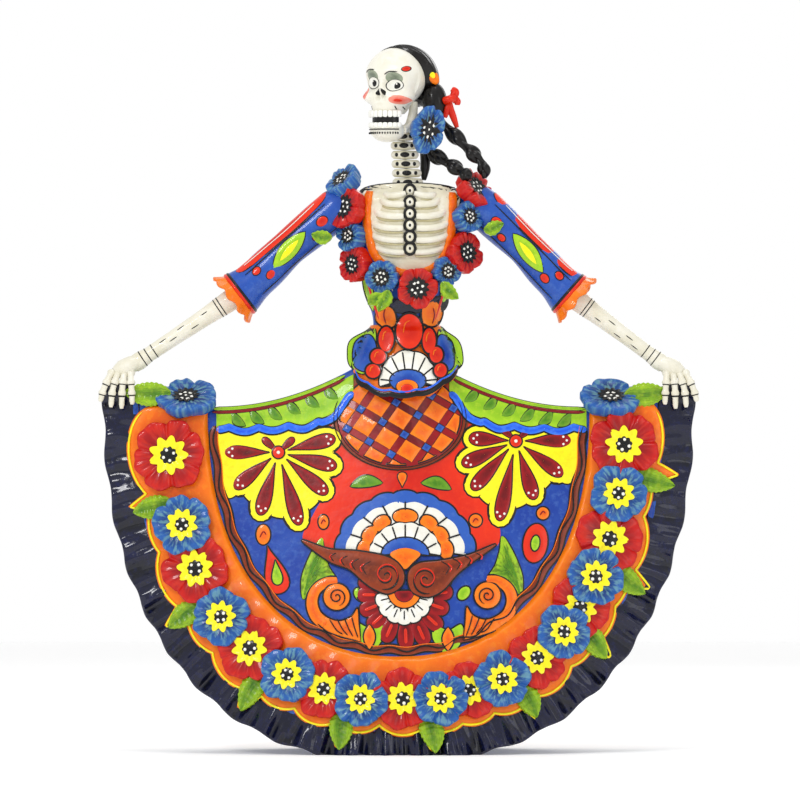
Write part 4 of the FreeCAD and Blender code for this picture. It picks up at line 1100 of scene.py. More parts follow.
def make_neck():
    """Six neck bones: squat discs with a groove, side wings and a dark oval boss in front."""
    bones, dark = Heap(), Heap()
    rise = 39.0 / 6
    for i in range(6):
        z0 = WAIST_Z + 128.0 + rise * i
        r = 9.3 * (1 - 0.035 * i)
        x = TORSO_X + 1.5 - 0.7 * i
        t = np.linspace(0, 1, 14)[:, None]
        a = circle(64)[None, :]
        rr = r * (0.66 + 0.34 * np.sin(PI * t) ** 0.5) * (1 + 0.13 * np.cos(2 * a) + 0.05 * np.cos(4 * a))
        rr = rr * np.where((t < 0.001) | (t > 0.999), 0.02, 1.0)
        p = xyz(x + rr * np.cos(a), 0.5 + 0.92 * rr * np.sin(a), z0 + rise * t)
        bones.add(p, 0.2 + 0.9 * (1 - np.sin(PI * t)), wrap_b=True)
        boss(dark, facing([x, 0.5 - 0.80 * r, z0 + rise * 0.5], 3.3, 1.9), 0.9, 0.3, 20, 5)
        for side in (-1, 1):
            o2 = np.array([x + side * r * 0.72, 0.5 - 0.62 * r, z0 + rise * 0.5])
            boss(dark, (o2, np.array([0.9, side * 0.5, 0]) * 1.3, np.array([0, 0, 1.5]),
                    np.array([side * 0.45, -0.9, 0])), 0.6, 0.2, 12, 4)
    bones.put("neck_glazed", "bone", "neck_vertebrae")
    dark.put("neck_marks", "black")


HEAD_AT = np.array([-3.0, 0.0, WAIST_Z + 200.0])
HEAD_TURN = np.radians(-26.0)


def head_frame(p):
    """Turns head-local points about the upright axis and lifts them to the head's place."""
    c, s = np.cos(HEAD_TURN), np.sin(HEAD_TURN)
    return np.stack([p[..., 0] * c - p[..., 1] * s, p[..., 0] * s + p[..., 1] * c, p[..., 2]], -1) + HEAD_AT


def egg_reach(d, centre, radii, origin):
    """Distance from origin along directions d to an ellipsoid's skin."""
    q = (origin - centre) / radii
    e = d / radii
    a, b, c = (e * e).sum(-1), (e * q).sum(-1), (q * q).sum() - 1
    return (-b + np.sqrt(np.maximum(b * b - a * c, 0))) / a


SKULL_MID = np.array([0, -2.0, -2.0])


def skull_point(az, el, lift=0.0):
    """Skull skin as a distance from its middle: a soft union of cranium and face, with brow, cheekbones,
    temples, eye hollows and nose hollow added as smooth bumps and dips."""
    d = compass(az, el)
    r1 = egg_reach(d, np.array([0, 3.0, 6.0]), np.array([21.5, 25.0, 21.5]), SKULL_MID)
    r2 = egg_reach(d, np.array([0, -8.5, -9.0]), np.array([16.5, 15.5, 16.5]), SKULL_MID)
    r = np.log(np.exp(r1 / 2.2) + np.exp(r2 / 2.2)) * 2.2 - 0.6

    def bump(x, z, wx, wz, high, power=2):
        px, pz = d[..., 0] * r, d[..., 2] * r + SKULL_MID[2]
        near = np.exp(-(np.abs((px - x) / wx) ** power + np.abs((pz - z) / wz) ** power))
        return high * near * (d[..., 1] < 0)
    out = r.copy()
    for side in (-1, 1):
        out = out + bump(side * 8.2, 1.0, 6.2, 6.0, -4.6, 3)
        out = out + bump(side * 8.2, 9.2, 7.5, 2.6, 1.8)
        out = out + bump(side * 13.0, -8.5, 5.0, 3.6, 2.6)
        out = out + bump(side * 19.5, -1.0, 3.5, 8.0, -1.8)
        out = out + bump(side * 12.5, -16.5, 4.0, 4.5, -2.6)
        out = out + bump(side * 2.1, -8.3, 1.7, 3.2, -4.0, 3)
    out = out + bump(0, -2.0, 2.2, 4.0, 1.3) + bump(0, -18.5, 10.0, 3.4, 1.2)
    low = (SKULL_MID[2] - (-20.6)) / np.maximum(-d[..., 2], 1e-3)
    out = np.where(d[..., 2] < -0.02, np.minimum(out, np.maximum(low, 1.0)), out)
    return SKULL_MID + d * (out + lift)[..., None]


def on_skull(x, z, lift):
    """Painting surface on the skull's face: x and z are head-local millimetres; the skin point comes from
    twelve passes towards that x and z."""
    x, z = np.broadcast_arrays(np.asarray(x, float), np.asarray(z, float))
    az, el = x / 22.0, (z - SKULL_MID[2]) / 24.0
    for step in range(12):
        p = skull_point(az, el)
        az = az + (x - p[..., 0]) / 24.0
        el = el + (z - p[..., 2]) / 26.0
    return head_frame(skull_point(az, el, np.broadcast_to(lift, x.shape)))


def make_skull():
    """Skull, painted face, jaw with its arms, dark mouth, and two rows of rounded-box teeth on an arc."""
    heap = Heap()
    heap.add(head_frame(skull_point(*ball(220, 150, 0.005 - PI / 2, PI / 2 - 0.005))), 0.15, wrap_b=True)
    heap.put("skull_glazed", "bone", "skull")
    p = Paint(on_skull, "face")
    for side in (-1, 1):
        ex, ez = side * 8.2, -side * 0.9
        p.shape("grey", ellipse(ex, 5.4 + ez, 5.4, 4.2), 1, edge=0, rings=9)
        p.shape("white", ellipse(ex, 0.4 + ez, 5.0, 3.9), 3, edge=0.45, rings=9, dome=0.9)
        p.shape("black", ellipse(ex + 1.2, ez, 2.1, 2.2), 8, edge=0, dome=0.5)
        # a small white dot on each pupil: a painted highlight, the glint of a lamp on the eye
        p.shape("white", ellipse(ex + 0.5, 1.0 + ez, 0.5), 13, edge=0, dome=0.2)
        p.line("black", [(ex - 5.6, 7.8 + ez), (ex - 2, 9.8 + ez), (ex + 3, 9.6 + ez)], 0.7, 2)
        p.shape("black", drop(side * 0.4, -2.4, side * 3.2, -7.4, 3.4), 1, edge=0, rings=6)
        for k in range(3):
            p.line("black", [(side * (9 + 3 * k), -15.0 - k * 0.5), (side * (9.5 + 3 * k), -17.6)], 0.5, 1)
    p.shape("pink", ellipse(12.0, -10.8, 5.8, 3.2), 1, edge=0, rings=8)
    p.shape("red", ellipse(12.0, -11.2, 2.9, 1.2), 2, edge=0, rings=6, dome=0.1)
    p.shape("pink", ellipse(-15.5, -6.2, 4.0, 4.4), 1, edge=0, rings=8)
    p.shape("red", ellipse(-16.5, -6.2, 2.6, 3.2), 2, edge=0, rings=6, dome=0.6)
    p.shape("red", ellipse(15.5, 11.0, 1.9, 1.7), 2, edge=0.4)
    p.finish(back=False)
    # jaw
    d = compass(*ball(160, 70))
    mid = np.array([0, -9.0, -32.5])
    r = np.log(np.exp(egg_reach(d, np.array([0, -11.0, -31.5]), np.array([13.4, 13.4, 9.8]), mid) / 1.5)
               + np.exp(egg_reach(d, np.array([0, -18.5, -36.0]), np.array([7.0, 6.0, 5.4]),
               np.array([0, -13.0, -34.0])) * 0.72 / 1.5)) * 1.5 - 0.8
    top = (-28.3 - mid[2]) / np.maximum(d[..., 2], 1e-3)
    r = np.where(d[..., 2] > 0.02, np.minimum(r, top), r)
    jaw = Heap()
    jaw.add(head_frame(mid + d * r[..., None]), 0.2, wrap_b=True)
    for side in (-1, 1):
        pts = through([(side * 11.0, -9, -32), (side * 12.6, -2, -29), (side * 13.2, 3, -20),
                (side * 12.8, 4.5, -12)], 30)
        tube(jaw, head_frame(pts), np.interp(np.linspace(0, 1, 30), [0, 0.5, 1], [3.2, 3.4, 3.0]), 16)
    jaw.put("jaw_glazed", "bone", "jaw")
    mouth = Heap()
    u = np.linspace(-1.25, 1.25, 40)[:, None]
    v = np.linspace(-1, 1, 8)[None, :]
    lip = xyz(11.0 * np.sin(u), -11.0 - 9.6 * np.cos(u), -24.4 + 4.4 * v)
    mouth.add(head_frame(lip), 0.3)
    mouth.put("mouth_dark", "black")
    for name, z, rz in (("upper", -20.6, 2.5), ("lower", -28.6, 1.9)):
        teeth = Heap()
        for i in range(9):
            t = np.radians(lerp(-66, 66, i / 8))
            c = np.array([12.3 * np.sin(t), -11.0 - 11.4 * np.cos(t), z])
            out = np.array([np.sin(t), -np.cos(t), 0])
            side = np.array([np.cos(t), np.sin(t), 0])
            aa, ee = ball(18, 12, -PI / 2, PI / 2)
            f = lambda w: np.sign(w) * np.abs(w) ** 0.6
            q = c + (1.75 * f(np.cos(ee)) * f(np.cos(aa)))[...,
                    None] * side + (1.5 * f(np.cos(ee)) * f(np.sin(aa)))[..., None] * out \
                + (rz * f(np.sin(ee)))[..., None] * np.array([0, 0, 1.0])
            teeth.add(head_frame(q), 0.1, wrap_b=True)
        teeth.put(name + "_teeth_glazed", "white", name + "_teeth")
    dots = Heap()
    for i in range(15):
        t = np.radians(lerp(-62, 62, i / 14))
        c = head_frame(np.array([13.0 * np.sin(t), -11.2 - 12.9 * np.cos(t), -34.2]))
        n = head_frame(np.array([np.sin(t), -np.cos(t), 0.1])) - head_frame(np.zeros(3))
        aa, bb, n = axes_from(n)
        boss(dots, (c, aa * 0.5, bb * 0.9, n), 0.5, -0.2, 10, 4)
    t = np.linspace(-1.15, 1.15, 40)
    tube(dots, head_frame(np.stack([12.6 * np.sin(t), -11.2 - 12.9 * np.cos(t), np.full(40, -31.6)], -1)),
            np.full(40, 0.45), 8)
    dots.put("jaw_dots", "black")


def make_hair():
    """Combed-back hair over the back of the skull, parted by grooves; two braids of three strands; yellow
    brush lights."""
    az, el = ball(320, 160, -1.05)
    d = compass(az, el)
    groove = 0.5 * np.abs(np.sin(az * 15 + 0.6 * np.sin(4 * el)))
    reach = egg_reach(d, np.array([3.0, 8.0, 4.0]), np.array([25.3, 27.8, 25.3]), SKULL_MID) - groove
    skin = np.linalg.norm(skull_point(az, el) - SKULL_MID, axis=-1)
    p = SKULL_MID + d * np.maximum(reach, skin)[..., None]
    # the hair starts behind a plane that leans 32 degrees back from upright
    cover = np.clip((p[..., 1] - 15.0 + 0.63 * p[..., 2]) / 1.6 + 0.5, 0, 1)
    q = SKULL_MID + d * (cover * np.maximum(reach, skin + 0.6) + (1 - cover) * (skin - 1.4))[..., None]
    heap = Heap()
    heap.add(head_frame(q), 0.2 + groove, wrap_b=True)
    a, b = ball(60, 40)
    r = 1 + 0.04 * np.abs(np.sin(5 * a + 2 * b))
    bunch = compass(a, b) * xyz(8.5 * r, 8.5 * r, 14.0) + [24.0, 16.0, -12.0]
    heap.add(head_frame(bunch), 0.3, wrap_b=True)
    heap.put("hair_glazed", "hair", "hair")
    lights = defaultdict(Heap)
    for colour, x, y, z, rx, rz, out in (("orange", 24.6, -1.6, 478, 5.8, 3.6, 1.4),
            ("yellow", 23.8, -2.4, 479.6, 3.6, 2.2, 1.2), ("yellow", 1.5, -1.0, 496.6, 3.4, 1.5, 1.0)):
        lean = np.radians(-62 if x > 10 else 0)
        along, over = np.array([np.cos(lean), 0, np.sin(lean)]), np.array([-np.sin(lean), 0, np.cos(lean)])
        boss(lights[colour], (np.array([x, y, z], float), along * rx, over * rz, np.array([0, -1.0, 0])), out,
                0, 24, 6)
    for colour, one in lights.items():
        one.put("hair_lights_" + colour, colour)
    outer = [(22, 6, 48), (31, 0, 40), (41, -6, 30), (49, -10, 22), (55, -12, 14), (56, -12, 6)]
    inner = [(13, 11, 32), (19, 4, 24), (28, -2, 18), (36, -9, 13), (42, -15, 9), (45, -19, 6)]
    for pts, name in ((outer, "braid_outer"), (inner, "braid_inner")):
        path = through([(TORSO_X + x, y, WAIST_Z + 128.0 + z) for x, y, z in pts], 90)
        braid = Heap()
        t = np.linspace(0, 1, 90)
        bulge = 1 + 0.30 * np.cos(2 * PI * 3.5 * t)
        thin = np.interp(t, [0, 0.1, 0.8, 1], [0.8, 1, 0.95, 0.5]) * bulge
        d = ahead(path)
        s1 = unit(np.cross(d, [0, 1.0, 0]))
        s2 = np.cross(d, s1)
        for k in range(3):
            ph = 2 * PI * (t * 1.75 + k / 3)
            strand = path + s1 * (1.9 * np.sin(ph) * thin)[:, None] + s2 * (1.4 * np.sin(2 * ph) * thin)[:,
                    None]
            tube(braid, strand, 2.7 * thin, 14)
        braid.put(name + "_glazed", "hair", name)
    # loose lock behind the neck
    lock = Heap()
    tube(lock, through([(14, 12, 452), (18, 12, 436), (19, 10, 420), (18, 8, 405)], 40),
            np.interp(np.linspace(0, 1, 40), [0, 0.4, 0.8, 1], [6.0, 4.2, 3.4, 1.5]), 18)
    lock.put("hair_lock", "hair")


def make_ribbon():
    """Bow of three flat loops round a knot, with a forked tail; all rolled clay about 3 mm thick."""
    cx, cz, y = 36.0, WAIST_Z + 190.0, 0.0
    bow = Heap()
    for pts, w in (([(0, 0), (3, 2.5), (4, 5.5), (1.5, 7.5)], 2.8),
            ([(0, 0), (3, 0.5), (5.5, -1.5), (5.5, -4)], 2.6), ([(0, 0), (1, -7), (3, -13), (5.5, -20)], 2.3),
                   ([(0, 0), (-1, -5), (-2, -9), (-3, -13)], 2.0),
                   ([(0, 0), (-4, -1), (-8, -2), (-11, -3)], 2.2)):
        p = through([(cx + a, y, cz + b) for a, b in pts], 30)
        t = np.linspace(0, 1, 30)
        tube(bow, p, w * (0.55 + 0.55 * np.sin(PI * np.clip(t * 0.95 + 0.03, 0, 1))), 18, 0.6)
    tube(bow, through([(cx - 3.2, y - 1, cz - 1), (cx, y - 3.0, cz), (cx + 3.2, y - 1, cz + 1)], 12),
            np.full(12, 2.9), 16)
    bow.put("ribbon_glazed", "red", "ribbon_bow")


def make_hair_flower():
    """One blossom beside the jaw, taller than it is wide."""
    a, b, n = axes_from([0.35, -1, 0.05], -0.26)
    spot = (np.array([20.0, -13.0, WAIST_Z + 168.0]), a * 0.82, b * 1.18, n)
    body, hearts = Heap(), defaultdict(Heap)
    petals(body, spot, 14.5, 6.0, 5, 91, foot=5.0)
    body.put("hair_blossom", "petal_blue", "hair_flower")
    heart(spot, 17.0, 6.0, 91, False, hearts)
    hearts["black"].put("hair_blossom_button", "black")
    hearts["white"].put("hair_blossom_dots", "white")


# ------------------------------------------------------------------ painted skirt
def paint_skirt():
    """Every field of the skirt, from the ground up: later motifs lie on higher layers."""
    p = Paint(skirt, "skirt_paint")
    # red ground of the upper middle, dipping between the fans and the blue field below
    red = loop([(-40, 258), (-54, 234), (-60, 218), (-46, 206), (-52, 186), (-62, 168), (-70, 150),
            (-56, 142), (-36, 138), (-10, 140),
                   (4, 142), (18, 140), (46, 138), (68, 142), (74, 152), (70, 170), (60, 186), (54, 206),
                   (66, 220), (58, 234), (42, 258)], 160)
    p.shape("red", red, 0, rings=26, centre=(4, 196), dome=0.1)
    # yoke below the peplum: a lattice of orange squares, red strips and small blue squares, inside a brown
    # rim
    mid, radii = np.array([1.0, 236.0]), np.array([49.0, 38.0])

    def within(points, share):
        """The points pulled in to the given share of the yoke's ellipse, and under the fold."""
        q = (np.asarray(points, float) - mid) / radii
        q = q * np.minimum(1, share / np.maximum(np.linalg.norm(q, axis=1), 1e-6))[:, None] * radii + mid
        return np.stack([q[:, 0], np.minimum(q[:, 1], fold_z(q[:, 0]) - 0.6)], -1)
    p.shape("brown", within(ellipse(*mid, *radii, n=110), 1.0), 1, rings=16, edge=0.9, dome=0.05)
    p.shape("maroon", within(ellipse(*mid, *radii, n=110), 0.90), 2, rings=16, edge=0.8, dome=0.05)
    u, v = np.array([15.5, -9.0]), np.array([-9.5, -13.8])
    side = np.linspace(-0.5, 0.5, 12, endpoint=False)
    square = np.concatenate([np.stack([side, side * 0 - 0.5], -1), np.stack([side * 0 + 0.5, side], -1),
                             np.stack([-side, side * 0 + 0.5], -1), np.stack([side * 0 - 0.5, -side], -1)])
    for i in range(-4, 7):
        for j in range(-4, 7):
            c = np.array([-14.3, 244.9]) + i * u + j * v
            if np.linalg.norm((c - mid) / radii) < 1.02 and c[1] < fold_z(c[0]) + 4:
                tile = within(c + 0.70 * square @ np.stack([u, v]), 0.86)
                if np.ptp(tile[:, 0]) > 3 and np.ptp(tile[:, 1]) > 3:
                    p.shape("orange", tile, 3, edge=1.0, rings=5, centre=tile.mean(0))
            c = c + (u + v) / 2
            if np.linalg.norm((c - mid) / radii) < 0.84 and c[1] < fold_z(c[0]) - 3:
                p.shape("blue", c + 0.27 * square @ np.stack([u, v]), 6, edge=0.5, rings=4)
    rim = np.linspace(-200, 20, 90)
    for share, wide in ((0.955, 0.8), (0.905, 0.6)):
        arc = mid + radii * share * np.stack([np.cos(np.radians(rim)), np.sin(np.radians(rim))], -1)
        arc = arc[arc[:, 1] < fold_z(arc[:, 0]) - 1]
        p.line("black", arc, wide, 6, taper=0.02, smooth=False)
    # fans: seven drops round a knot, each with its own yellow halo
    fans = (((-85.0, 212.0), [(-123, 212), (-116, 187), (-98, 168), (-70, 161), (-50.5, 183), (-44, 202),
            (-45, 222)]),
            ((83.0, 220.0), [(50, 222), (45, 203.5), (52, 186), (71, 164), (96, 179), (116, 196),
            (122, 220.5)]))
    p.shape("yellow", loop([(-130, 229), (-104, 229), (-98, 204), (-118, 180), (-127, 192), (-130, 210)], 50),
            2, edge=1.0, centre=(-116, 208))
    p.shape("yellow", loop([(131, 229), (104, 229), (98, 208), (118, 190), (128, 200), (131, 214)], 50), 2,
            edge=1.0, centre=(116, 212))
    for (kx, kz), tips in fans:
        c = np.array([kx, kz])
        tips = np.array(tips, float)
        hollows = [c + ((one + two) / 2 - c) * 0.97 for one, two in zip(tips[:-1], tips[1:])]
        p.shape("yellow", loop([tuple(tips[0] + (c - tips[0]) * 0.12)] + [tuple(h) for h in hollows]
                + [tuple(tips[-1] + (c - tips[-1]) * 0.12)]
                                  + [(kx - np.sign(kx - tips[0, 0]) * -26, kz + 14), (kx, kz + 17),
                                  (kx + np.sign(kx - tips[0, 0]) * -26, kz + 14)],
                                  110), 2, rings=12, edge=1.2, dome=0.1)
        roots = c + (tips - c) * 0.17
        for tip, root in zip(tips, roots):
            p.shape("yellow", grow(drop(*root, *tip, 10.5), 4.4), 2, edge=1.2, rings=10, dome=0.12)
        for tip, root in zip(tips, roots):
            p.shape("maroon", drop(*root, *tip, 10.0), 4, edge=0.75, rings=8)
            d = (tip - c) / np.linalg.norm(tip - c)
            s = np.array([-d[1], d[0]])
            for off, back in ((0, 3.0), (2.6, 5.4), (-2.6, 5.4)):
                p.shape("white", ellipse(*(tip - d * back + s * off), 0.85), 7, edge=0, rings=3, dome=0.12)
        for sx in (-1, 1):
            p.shape("maroon", drop(*c, *(c + [sx * 11, 10]), 5.0), 4, edge=0.6)
        p.shape("red", ellipse(*c, 4.2), 6, edge=0.8)
        p.shape("white", ellipse(*c, 1.2), 9, edge=0, rings=3)
    # green scalloped band under the fold with a bright blue lower edge
    xs = np.linspace(36, 133, 120)
    deep = np.interp(xs, [36, 42, 49.5, 58, 72, 112, 133], [3, 8, 13, 17, 18, 18, 16])
    low = np.interp(xs, [36, 49.5, 58, 70, 90, 110, 125, 133],
            [257.0, 241, 235.5, 232.5, 231.5, 230.5, 231, 232]) - 3.0 * np.abs(np.sin((xs - 40) * PI / 21))
    high = fold_z(xs) - 1.5
    low = np.minimum(low, high - deep * 0.15)
    for side in (-1, 1):
        shift = 4 if side < 0 else 0
        rows = np.linspace(0, 1, 8)[:, None, None]
        top, bottom = (np.stack([xs * side + shift, z], -1) for z in (high, low))
        g = top[None] * (1 - rows) + bottom[None] * rows
        rise = 0.66 + 0.2 * np.sin(PI * rows[..., 0]) - 0.3 * ((rows[..., 0] < 0.01) | (rows[..., 0] > 0.99))
        p.heaps["lime"].add(skirt(g[..., 0], g[..., 1], rise),
                np.abs(2 * rows[..., 0] - 1) * np.ones(len(xs)), flip=side > 0)
        p.line("sky", bottom - [0, 1.0], 5.0, 5, 1.0, taper=0.02, smooth=False)
        for k in range(6):
            x0 = side * (50 + 13.2 * k) + shift
            z0 = float(fold_z(np.array(x0))) - 5.5
            lobe = lens(x0 + side * 6, z0 + 1, x0 - side * 3.5, z0 - 8.5, 6.5, side * 1.5)
            p.shape("green", lobe, 6, edge=0.7, rings=5)
        xr = np.linspace(38, 132, 60)
        zr = fold_z(xr)
        p.line("lime", np.stack([side * xr, zr - 1.2], -1), 2.4, 6, 0.4, taper=0.05, smooth=False)
        p.line("maroon", np.stack([side * xr, zr - 3.6], -1), 1.9, 7, 0.4, taper=0.05, smooth=False)
    # arch fan in the middle
    cx, cz = 4.7, 140.0
    arc = np.linspace(0, PI, 84)

    def half(r, rz=None, wave=0.0, lobes=0, sharp=1.0):
        k = 1 + wave * np.abs(np.sin(arc * lobes)) ** sharp
        return np.stack([cx + r * k * np.cos(arc), cz + (rz or r) * k * np.sin(arc)], -1)
    p.shape("blue", half(47.5, 43.0, 0.05, 9, 0.6), 2, centre=(cx, cz + 8), rings=10, edge=1.3)
    p.shape("white", half(42.5, 37.5, 0.04, 8, 0.8), 3, centre=(cx, cz + 8), rings=10, edge=1.1)
    for k in range(7):
        a = PI * (k + 1) / 8
        c, s = np.cos(a), np.sin(a)
        p.line("black", [(cx + 27 * c, cz + 26 * s), (cx + 42 * c, cz + 37.5 * s)], 1.2, 6, n=12, taper=0.02)
    for deg in (8, 30, 55, 90, 125, 150, 172):
        a = np.radians(deg)
        wide = 8.6 if deg == 90 else 6.8
        p.shape("orange", ellipse(cx + 29 * np.cos(a), cz + 27 * np.sin(a), 5.2, wide, deg), 7, edge=0.9)
    p.shape("white", half(24.5, 22, 0.04, 8), 9, centre=(cx, cz + 6), rings=8, edge=1.1)
    for k in range(7):
        a = PI * (k + 1) / 8
        c, s = np.cos(a), np.sin(a)
        p.line("black", [(cx + 16 * c, cz + 11.5 * s), (cx + 24 * c, cz + 21.5 * s)], 1.1, 12, n=8,
                taper=0.02)
    p.shape("blue", half(16.5, 12), 12, centre=(cx, cz + 3), rings=6, edge=1.0)
    p.shape("orange", loop([(cx - 10.5, 141), (cx, 145), (cx + 10.5, 141), (cx + 5, 134), (cx, 130),
            (cx - 5, 134)], 50), 14, rings=6, edge=1.0)
    # marks on the red ground and the blue field
    p.shape("orange", drop(2.6, 187.5, 2.6, 198, 6.5), 2)
    for leaf in (lens(-34, 188, -11.4, 190.5, 8.5, 2.5), lens(16, 190.5, 37, 186, 8.5, 2.5)):
        p.shape("green", leaf, 2)
    for x, z, rx, rz, back in ((102, 169, 4.4, 4.4, "maroon"), (54.4, 164, 4.5, 4.5, "maroon"),
            (-95.5, 154, 5.0, 7.0, "maroon"),
                               (-53, 163, 3.6, 5.0, "maroon")):
        p.shape("orange", ellipse(x, z, rx, rz), 2, edge=0.9)
        p.line(back, [(x - rx * 0.5, z - rz * 0.3), (x, z + rz * 0.3), (x + rx * 0.4, z)], 0.9, 4, n=12)
    p.shape("red", ellipse(96.5, 148, 8.5, 13.5, -8), 3, edge=1.1)
    p.shape("lime", ellipse(96.5, 148, 2.9, 5.4, -8), 6, edge=0.9)
    p.shape("red", drop(-92.5, 146, -83, 113, 17.0), 3, edge=1.0, rings=8)
    p.shape("lime", drop(-87, 136, -85, 119, 7.5), 6, edge=0.9)
    # brown wings that end in curls under the arch
    left = loop([(-68, 150), (-49, 144), (-28, 142.5), (-6.5, 138), (3.0, 129), (2.5, 119), (-7, 113),
            (-17, 116), (-25, 121.5),
                    (-35, 130), (-49, 135.5)], 120)
    right = loop([(68.5, 147), (49.5, 140), (30, 136), (14, 134), (7.0, 127), (9, 115), (20, 110.5),
            (31, 115), (41, 126), (49.5, 133)], 120)
    for outline, (ox, oz), side in ((left, (-8.6, 125.0), -1), (right, (19.0, 122.0), 1)):
        p.shape("brown", outline, 16, edge=1.1, rings=12, dome=0.8)
        for k in range(4):
            x = ox + side * (15 + 7.6 * k)
            z = lerp(131, 138.5, k / 3)
            far = lerp(1.0, 0.6, k / 3)
            p.line("black", [(x - side * 4 * far, z + 4.5 * far), (x + side * 1.5, z + 0.5),
                    (x - side * far, z - 5.0 * far)], 0.9, 20, n=14)
            p.line("red", [(x + side * 0.5, z + 3.0 * far), (x + side * 3.4 * far, z + 0.2),
                    (x + side * 2.0 * far, z - 3.2 * far)], 1.2, 20, n=14)
        t = np.linspace(0.3, 3.6 * PI, 90)
        r = np.interp(t, [0, 3.6 * PI], [1.0, 9.5])
        curl = np.stack([ox + side * r * np.cos(t), oz + r * np.sin(t)], -1)
        p.line("black", curl, 1.3, 20, n=90, taper=0.05, smooth=False)
        p.line("red", curl[12:78] + [side * 0.3, 1.4], 1.0, 21, n=70, taper=0.2, smooth=False)
    # half flower below the arch
    fx, fz = 4.0, 112.0
    for tip in [(5.4, 74), (-10, 79), (19.5, 77), (-21, 89), (30, 88), (-27, 100), (35, 101), (-29, 112),
            (38, 114), (-28, 122), (37, 124)]:
        d = np.array(tip) - [fx, fz]
        p.shape("maroon", drop(fx + d[0] * 0.2, fz + d[1] * 0.2, *tip, 12.0), 4, edge=0.9, rings=8)
        p.line("red", [(fx + d[0] * 0.62, fz + d[1] * 0.62), (fx + d[0] * 0.9, fz + d[1] * 0.9)], 2.2, 7, n=8)
    for k in range(7):
        a = PI + PI * (k + 0.5) / 7
        c, s = np.cos(a), np.sin(a)
        p.shape("white", drop(fx + 7 * c, fz + 7 * s, fx + 20.5 * c, fz + 21 * s, 10.0), 8, edge=0.9)
        p.line("black", [(fx + 11 * c, fz + 11 * s), (fx + 17 * c, fz + 17.5 * s)], 0.9, 11, n=8)
    low = np.linspace(PI, 2 * PI, 40)
    p.shape("orange", np.stack([fx + 11.5 * np.cos(low), fz + 3 + 12 * np.sin(low)], -1), 12,
            centre=(fx, fz - 1), edge=0.9)
    p.shape("maroon", np.stack([fx + 7 * np.cos(low), fz + 3 + 8 * np.sin(low)], -1), 14, centre=(fx, fz),
            edge=0.8)
    # horns of plenty: a curling orange lip over a fluted yellow cone
    for ox, oz, side in ((64.0, 111.0, 1), (-45.0, 110.0, -1)):
        def at(points):
            return [(ox + side * x, oz + z) for x, z in points]
        p.line("orange", at([(6, -19), (13, -13), (16, -4), (13.5, 5), (6, 10.5), (-2, 11)]),
                np.interp(np.linspace(0, 1, 90), [0, 0.5, 1], [9, 7.5, 6.5]), 3,
               1.1, n=90, taper=0.03, dome=0.5)
        p.shape("orange", loop(at([(-18.6, -31), (-17.4, -18), (-16.2, -7), (-11.4, -13), (-3.2, -16),
                (5, -13.5), (10, -17), (5, -24), (-6, -28)]), 60), 4,
                edge=0, rings=8, centre=at([(-8, -21)])[0])
        p.line("black", at([(-18.6, -31), (-17.4, -18), (-16.2, -7), (-11.4, -13), (-3.2, -16), (5, -13.5),
                (10.5, -8.5)]), 1.1, 7, n=60)
        p.line("black", at([(-18.6, -31), (-6, -28), (5, -24), (12, -18.5)]), 1.1, 7, n=40)
        for k in range(4):
            p.line("black", at([(-12 + 5.2 * k, -13.5 - 0.6 * k), (-14.0 + 4.2 * k, -21 - 0.6 * k),
                    (-16.5 + 3.6 * k, -28 + 0.8 * k)]), 0.9, 8, n=16)
        p.shape("orange", ellipse(*at([(-1.4, 0.5)])[0], 9.2), 6, edge=1.1, rings=8, dome=0.5)
        t = np.linspace(0.3, 3.4 * PI, 70)
        r = np.interp(t, [0, 3.4 * PI], [0.6, 6.4])
        p.line("black", np.array(at([(-1.4, 0.5)])) + np.stack([side * r * np.cos(t), r * np.sin(t)], -1),
                1.0, 12, n=70, taper=0.1, smooth=False)
        leaf = [(9, 42), (16, 33), (23.5, 14), (22.5, -1), (17, 4), (9, 11), (-1, 12.5), (4, 22), (7, 32)]
        p.shape("leaf", loop(at(leaf), 80), 1, edge=1.0, rings=9, centre=at([(14, 17)])[0])
        for k in range(4):
            p.line("green", at([(10.5 + 0.6 * k, 35 - 6.5 * k), (15 + 1.6 * k, 24 - 6.0 * k),
                    (19.5 + 0.6 * k, 12 - 3.5 * k)]), 1.3, 4, n=20)
        p.shape("lime", ellipse(*at([(-18, 2)])[0], 3.8, 5.4, side * -40), 2, edge=0.9)
    # buds between the half flower and the horns
    for x0, x1, z0, z1 in ((25.5, 44.0, 70, 91), (-10.0, -31.0, 71, 93)):
        m = (x0 + x1) / 2
        p.shape("lime", loop([(x0, z1), (m, z1 - 4), (x1, z1), (x1 + 1, (z0 + z1) / 2), (m, z0),
                (x0 - 1, (z0 + z1) / 2)], 50), 3, edge=1.0)
        p.shape("orange", lens(m, z1 - 2, m, z0 + 3, 8.0), 6, edge=0.9)
    # wavy brown border against the garland
    t = np.linspace(-PI / 2 * 0.95, PI / 2 * 0.95, 420)
    for colour, share, wave, wide, level, edge in (("brown", -0.045, 0.012, 5.6, 3, 1.0),
            ("black", -0.050, 0.022, 1.2, 6, 0), ("orange", -0.078, 0.008, 0.7, 6, 0)):
        bx, bz = ring_point(t, share + wave * np.sin(34 * t))
        p.line(colour, np.stack([bx, np.minimum(bz, fold_z(bx) - 1.0)], -1), wide, level, edge, smooth=False,
                taper=0.01)
    p.finish()


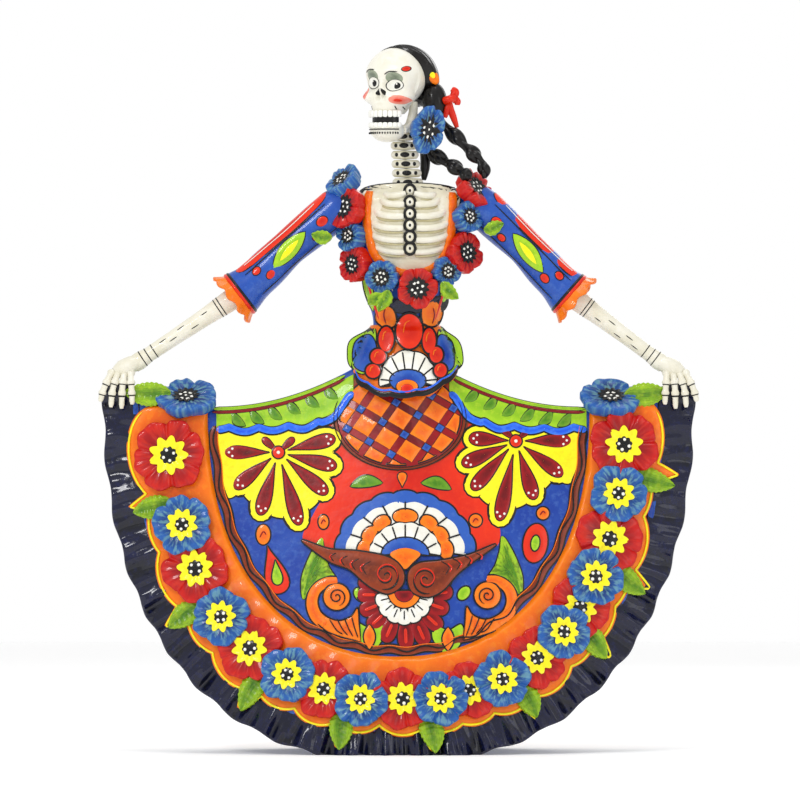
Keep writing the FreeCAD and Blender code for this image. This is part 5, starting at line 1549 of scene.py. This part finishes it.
# ------------------------------------------------------------------ stage
def make_stage():
    """White paper: a level floor, and a quarter round that rises behind it, which lights the figure but
    isn't seen itself."""
    paper = bpy.data.materials.new("white_paper")
    paper.use_nodes = True
    sockets = paper.node_tree.nodes["Principled BSDF"].inputs
    sockets["Base Color"].default_value = linear("fcfcfc")
    sockets["Roughness"].default_value = 0.9
    sockets["Emission Color"].default_value = linear("ffffff")
    sockets["Emission Strength"].default_value = 0.16
    u = np.linspace(-3.0, 3.0, 30)[:, None]
    level = np.linspace(-3.5, 3.0, 36)[None, :]
    turn = np.linspace(0, PI / 2, 36)[None, :]
    for name, y, z, seen in (("floor", level, 0 * level, True),
            ("rise", 3.0 + 0.9 * np.sin(turn), 2.6 * (1 - np.cos(turn)), False)):
        p = xyz(u, y, z - 0.0002).reshape(-1, 3)
        mesh = bpy.data.meshes.new(name)
        mesh.from_pydata(p.tolist(), [], quads(30, 36).tolist())
        mesh.shade_smooth()
        mesh.materials.append(paper)
        sheet = bpy.data.objects.new(name, mesh)
        bpy.context.collection.objects.link(sheet)
        sheet.visible_camera = seen
    world = bpy.data.worlds.new("studio")
    bpy.context.scene.world = world
    world.use_nodes = True
    tree = world.node_tree
    # what the camera sees of the sky is plain white, and the light it gives is softer
    path = add(tree, "ShaderNodeLightPath")
    mix = add(tree, "ShaderNodeMix", {"A": 0.72, "B": 1.0}, {"Factor": path.outputs["Is Camera Ray"]})
    tree.links.new(mix.outputs[0], tree.nodes["Background"].inputs["Strength"])
    tree.nodes["Background"].inputs["Color"].default_value = (1, 1, 1, 1)
    bpy.context.scene.view_settings.view_transform = "Standard"
    for name, place, aim, size, power in (("key", (-1.0, -1.7, 1.5), (0, 0, 0.25), 0.4, 13),
            ("fill", (1.4, -1.8, 0.7), (0, 0, 0.25), 0.9, 4),
                                          ("top", (0.1, -0.3, 1.9), (0, 0, 0.2), 0.7, 6),
                                          ("rim", (0.6, 1.6, 1.1), (0, 0, 0.3), 0.8, 4)):
        data = bpy.data.lights.new(name, "AREA")
        data.size, data.energy = size, power
        lamp = bpy.data.objects.new(name, data)
        lamp.location = place
        lamp.rotation_euler = (Vector(aim) - Vector(place)).to_track_quat("-Z", "Y").to_euler()
        bpy.context.collection.objects.link(lamp)
    camera = bpy.data.cameras.new("camera")
    camera.lens, camera.sensor_width = 420.0, 36.0
    obj = bpy.data.objects.new("camera", camera)
    # the view is 567 mm wide at the skirt's middle plane
    obj.location = (0.001, -0.567 * camera.lens / camera.sensor_width, 0.249)
    obj.rotation_euler = (PI / 2, 0, 0)
    bpy.context.collection.objects.link(obj)
    bpy.context.scene.camera = obj


make_skirt()
make_ruffle()
make_band()
make_garland()
make_corner_flowers()
make_bodice()
make_peplum()
paint_torso()
make_collar()
make_chest()
make_neck()
make_arms()
make_skull()
make_hair()
make_ribbon()
make_hair_flower()
paint_skirt()
make_stage()
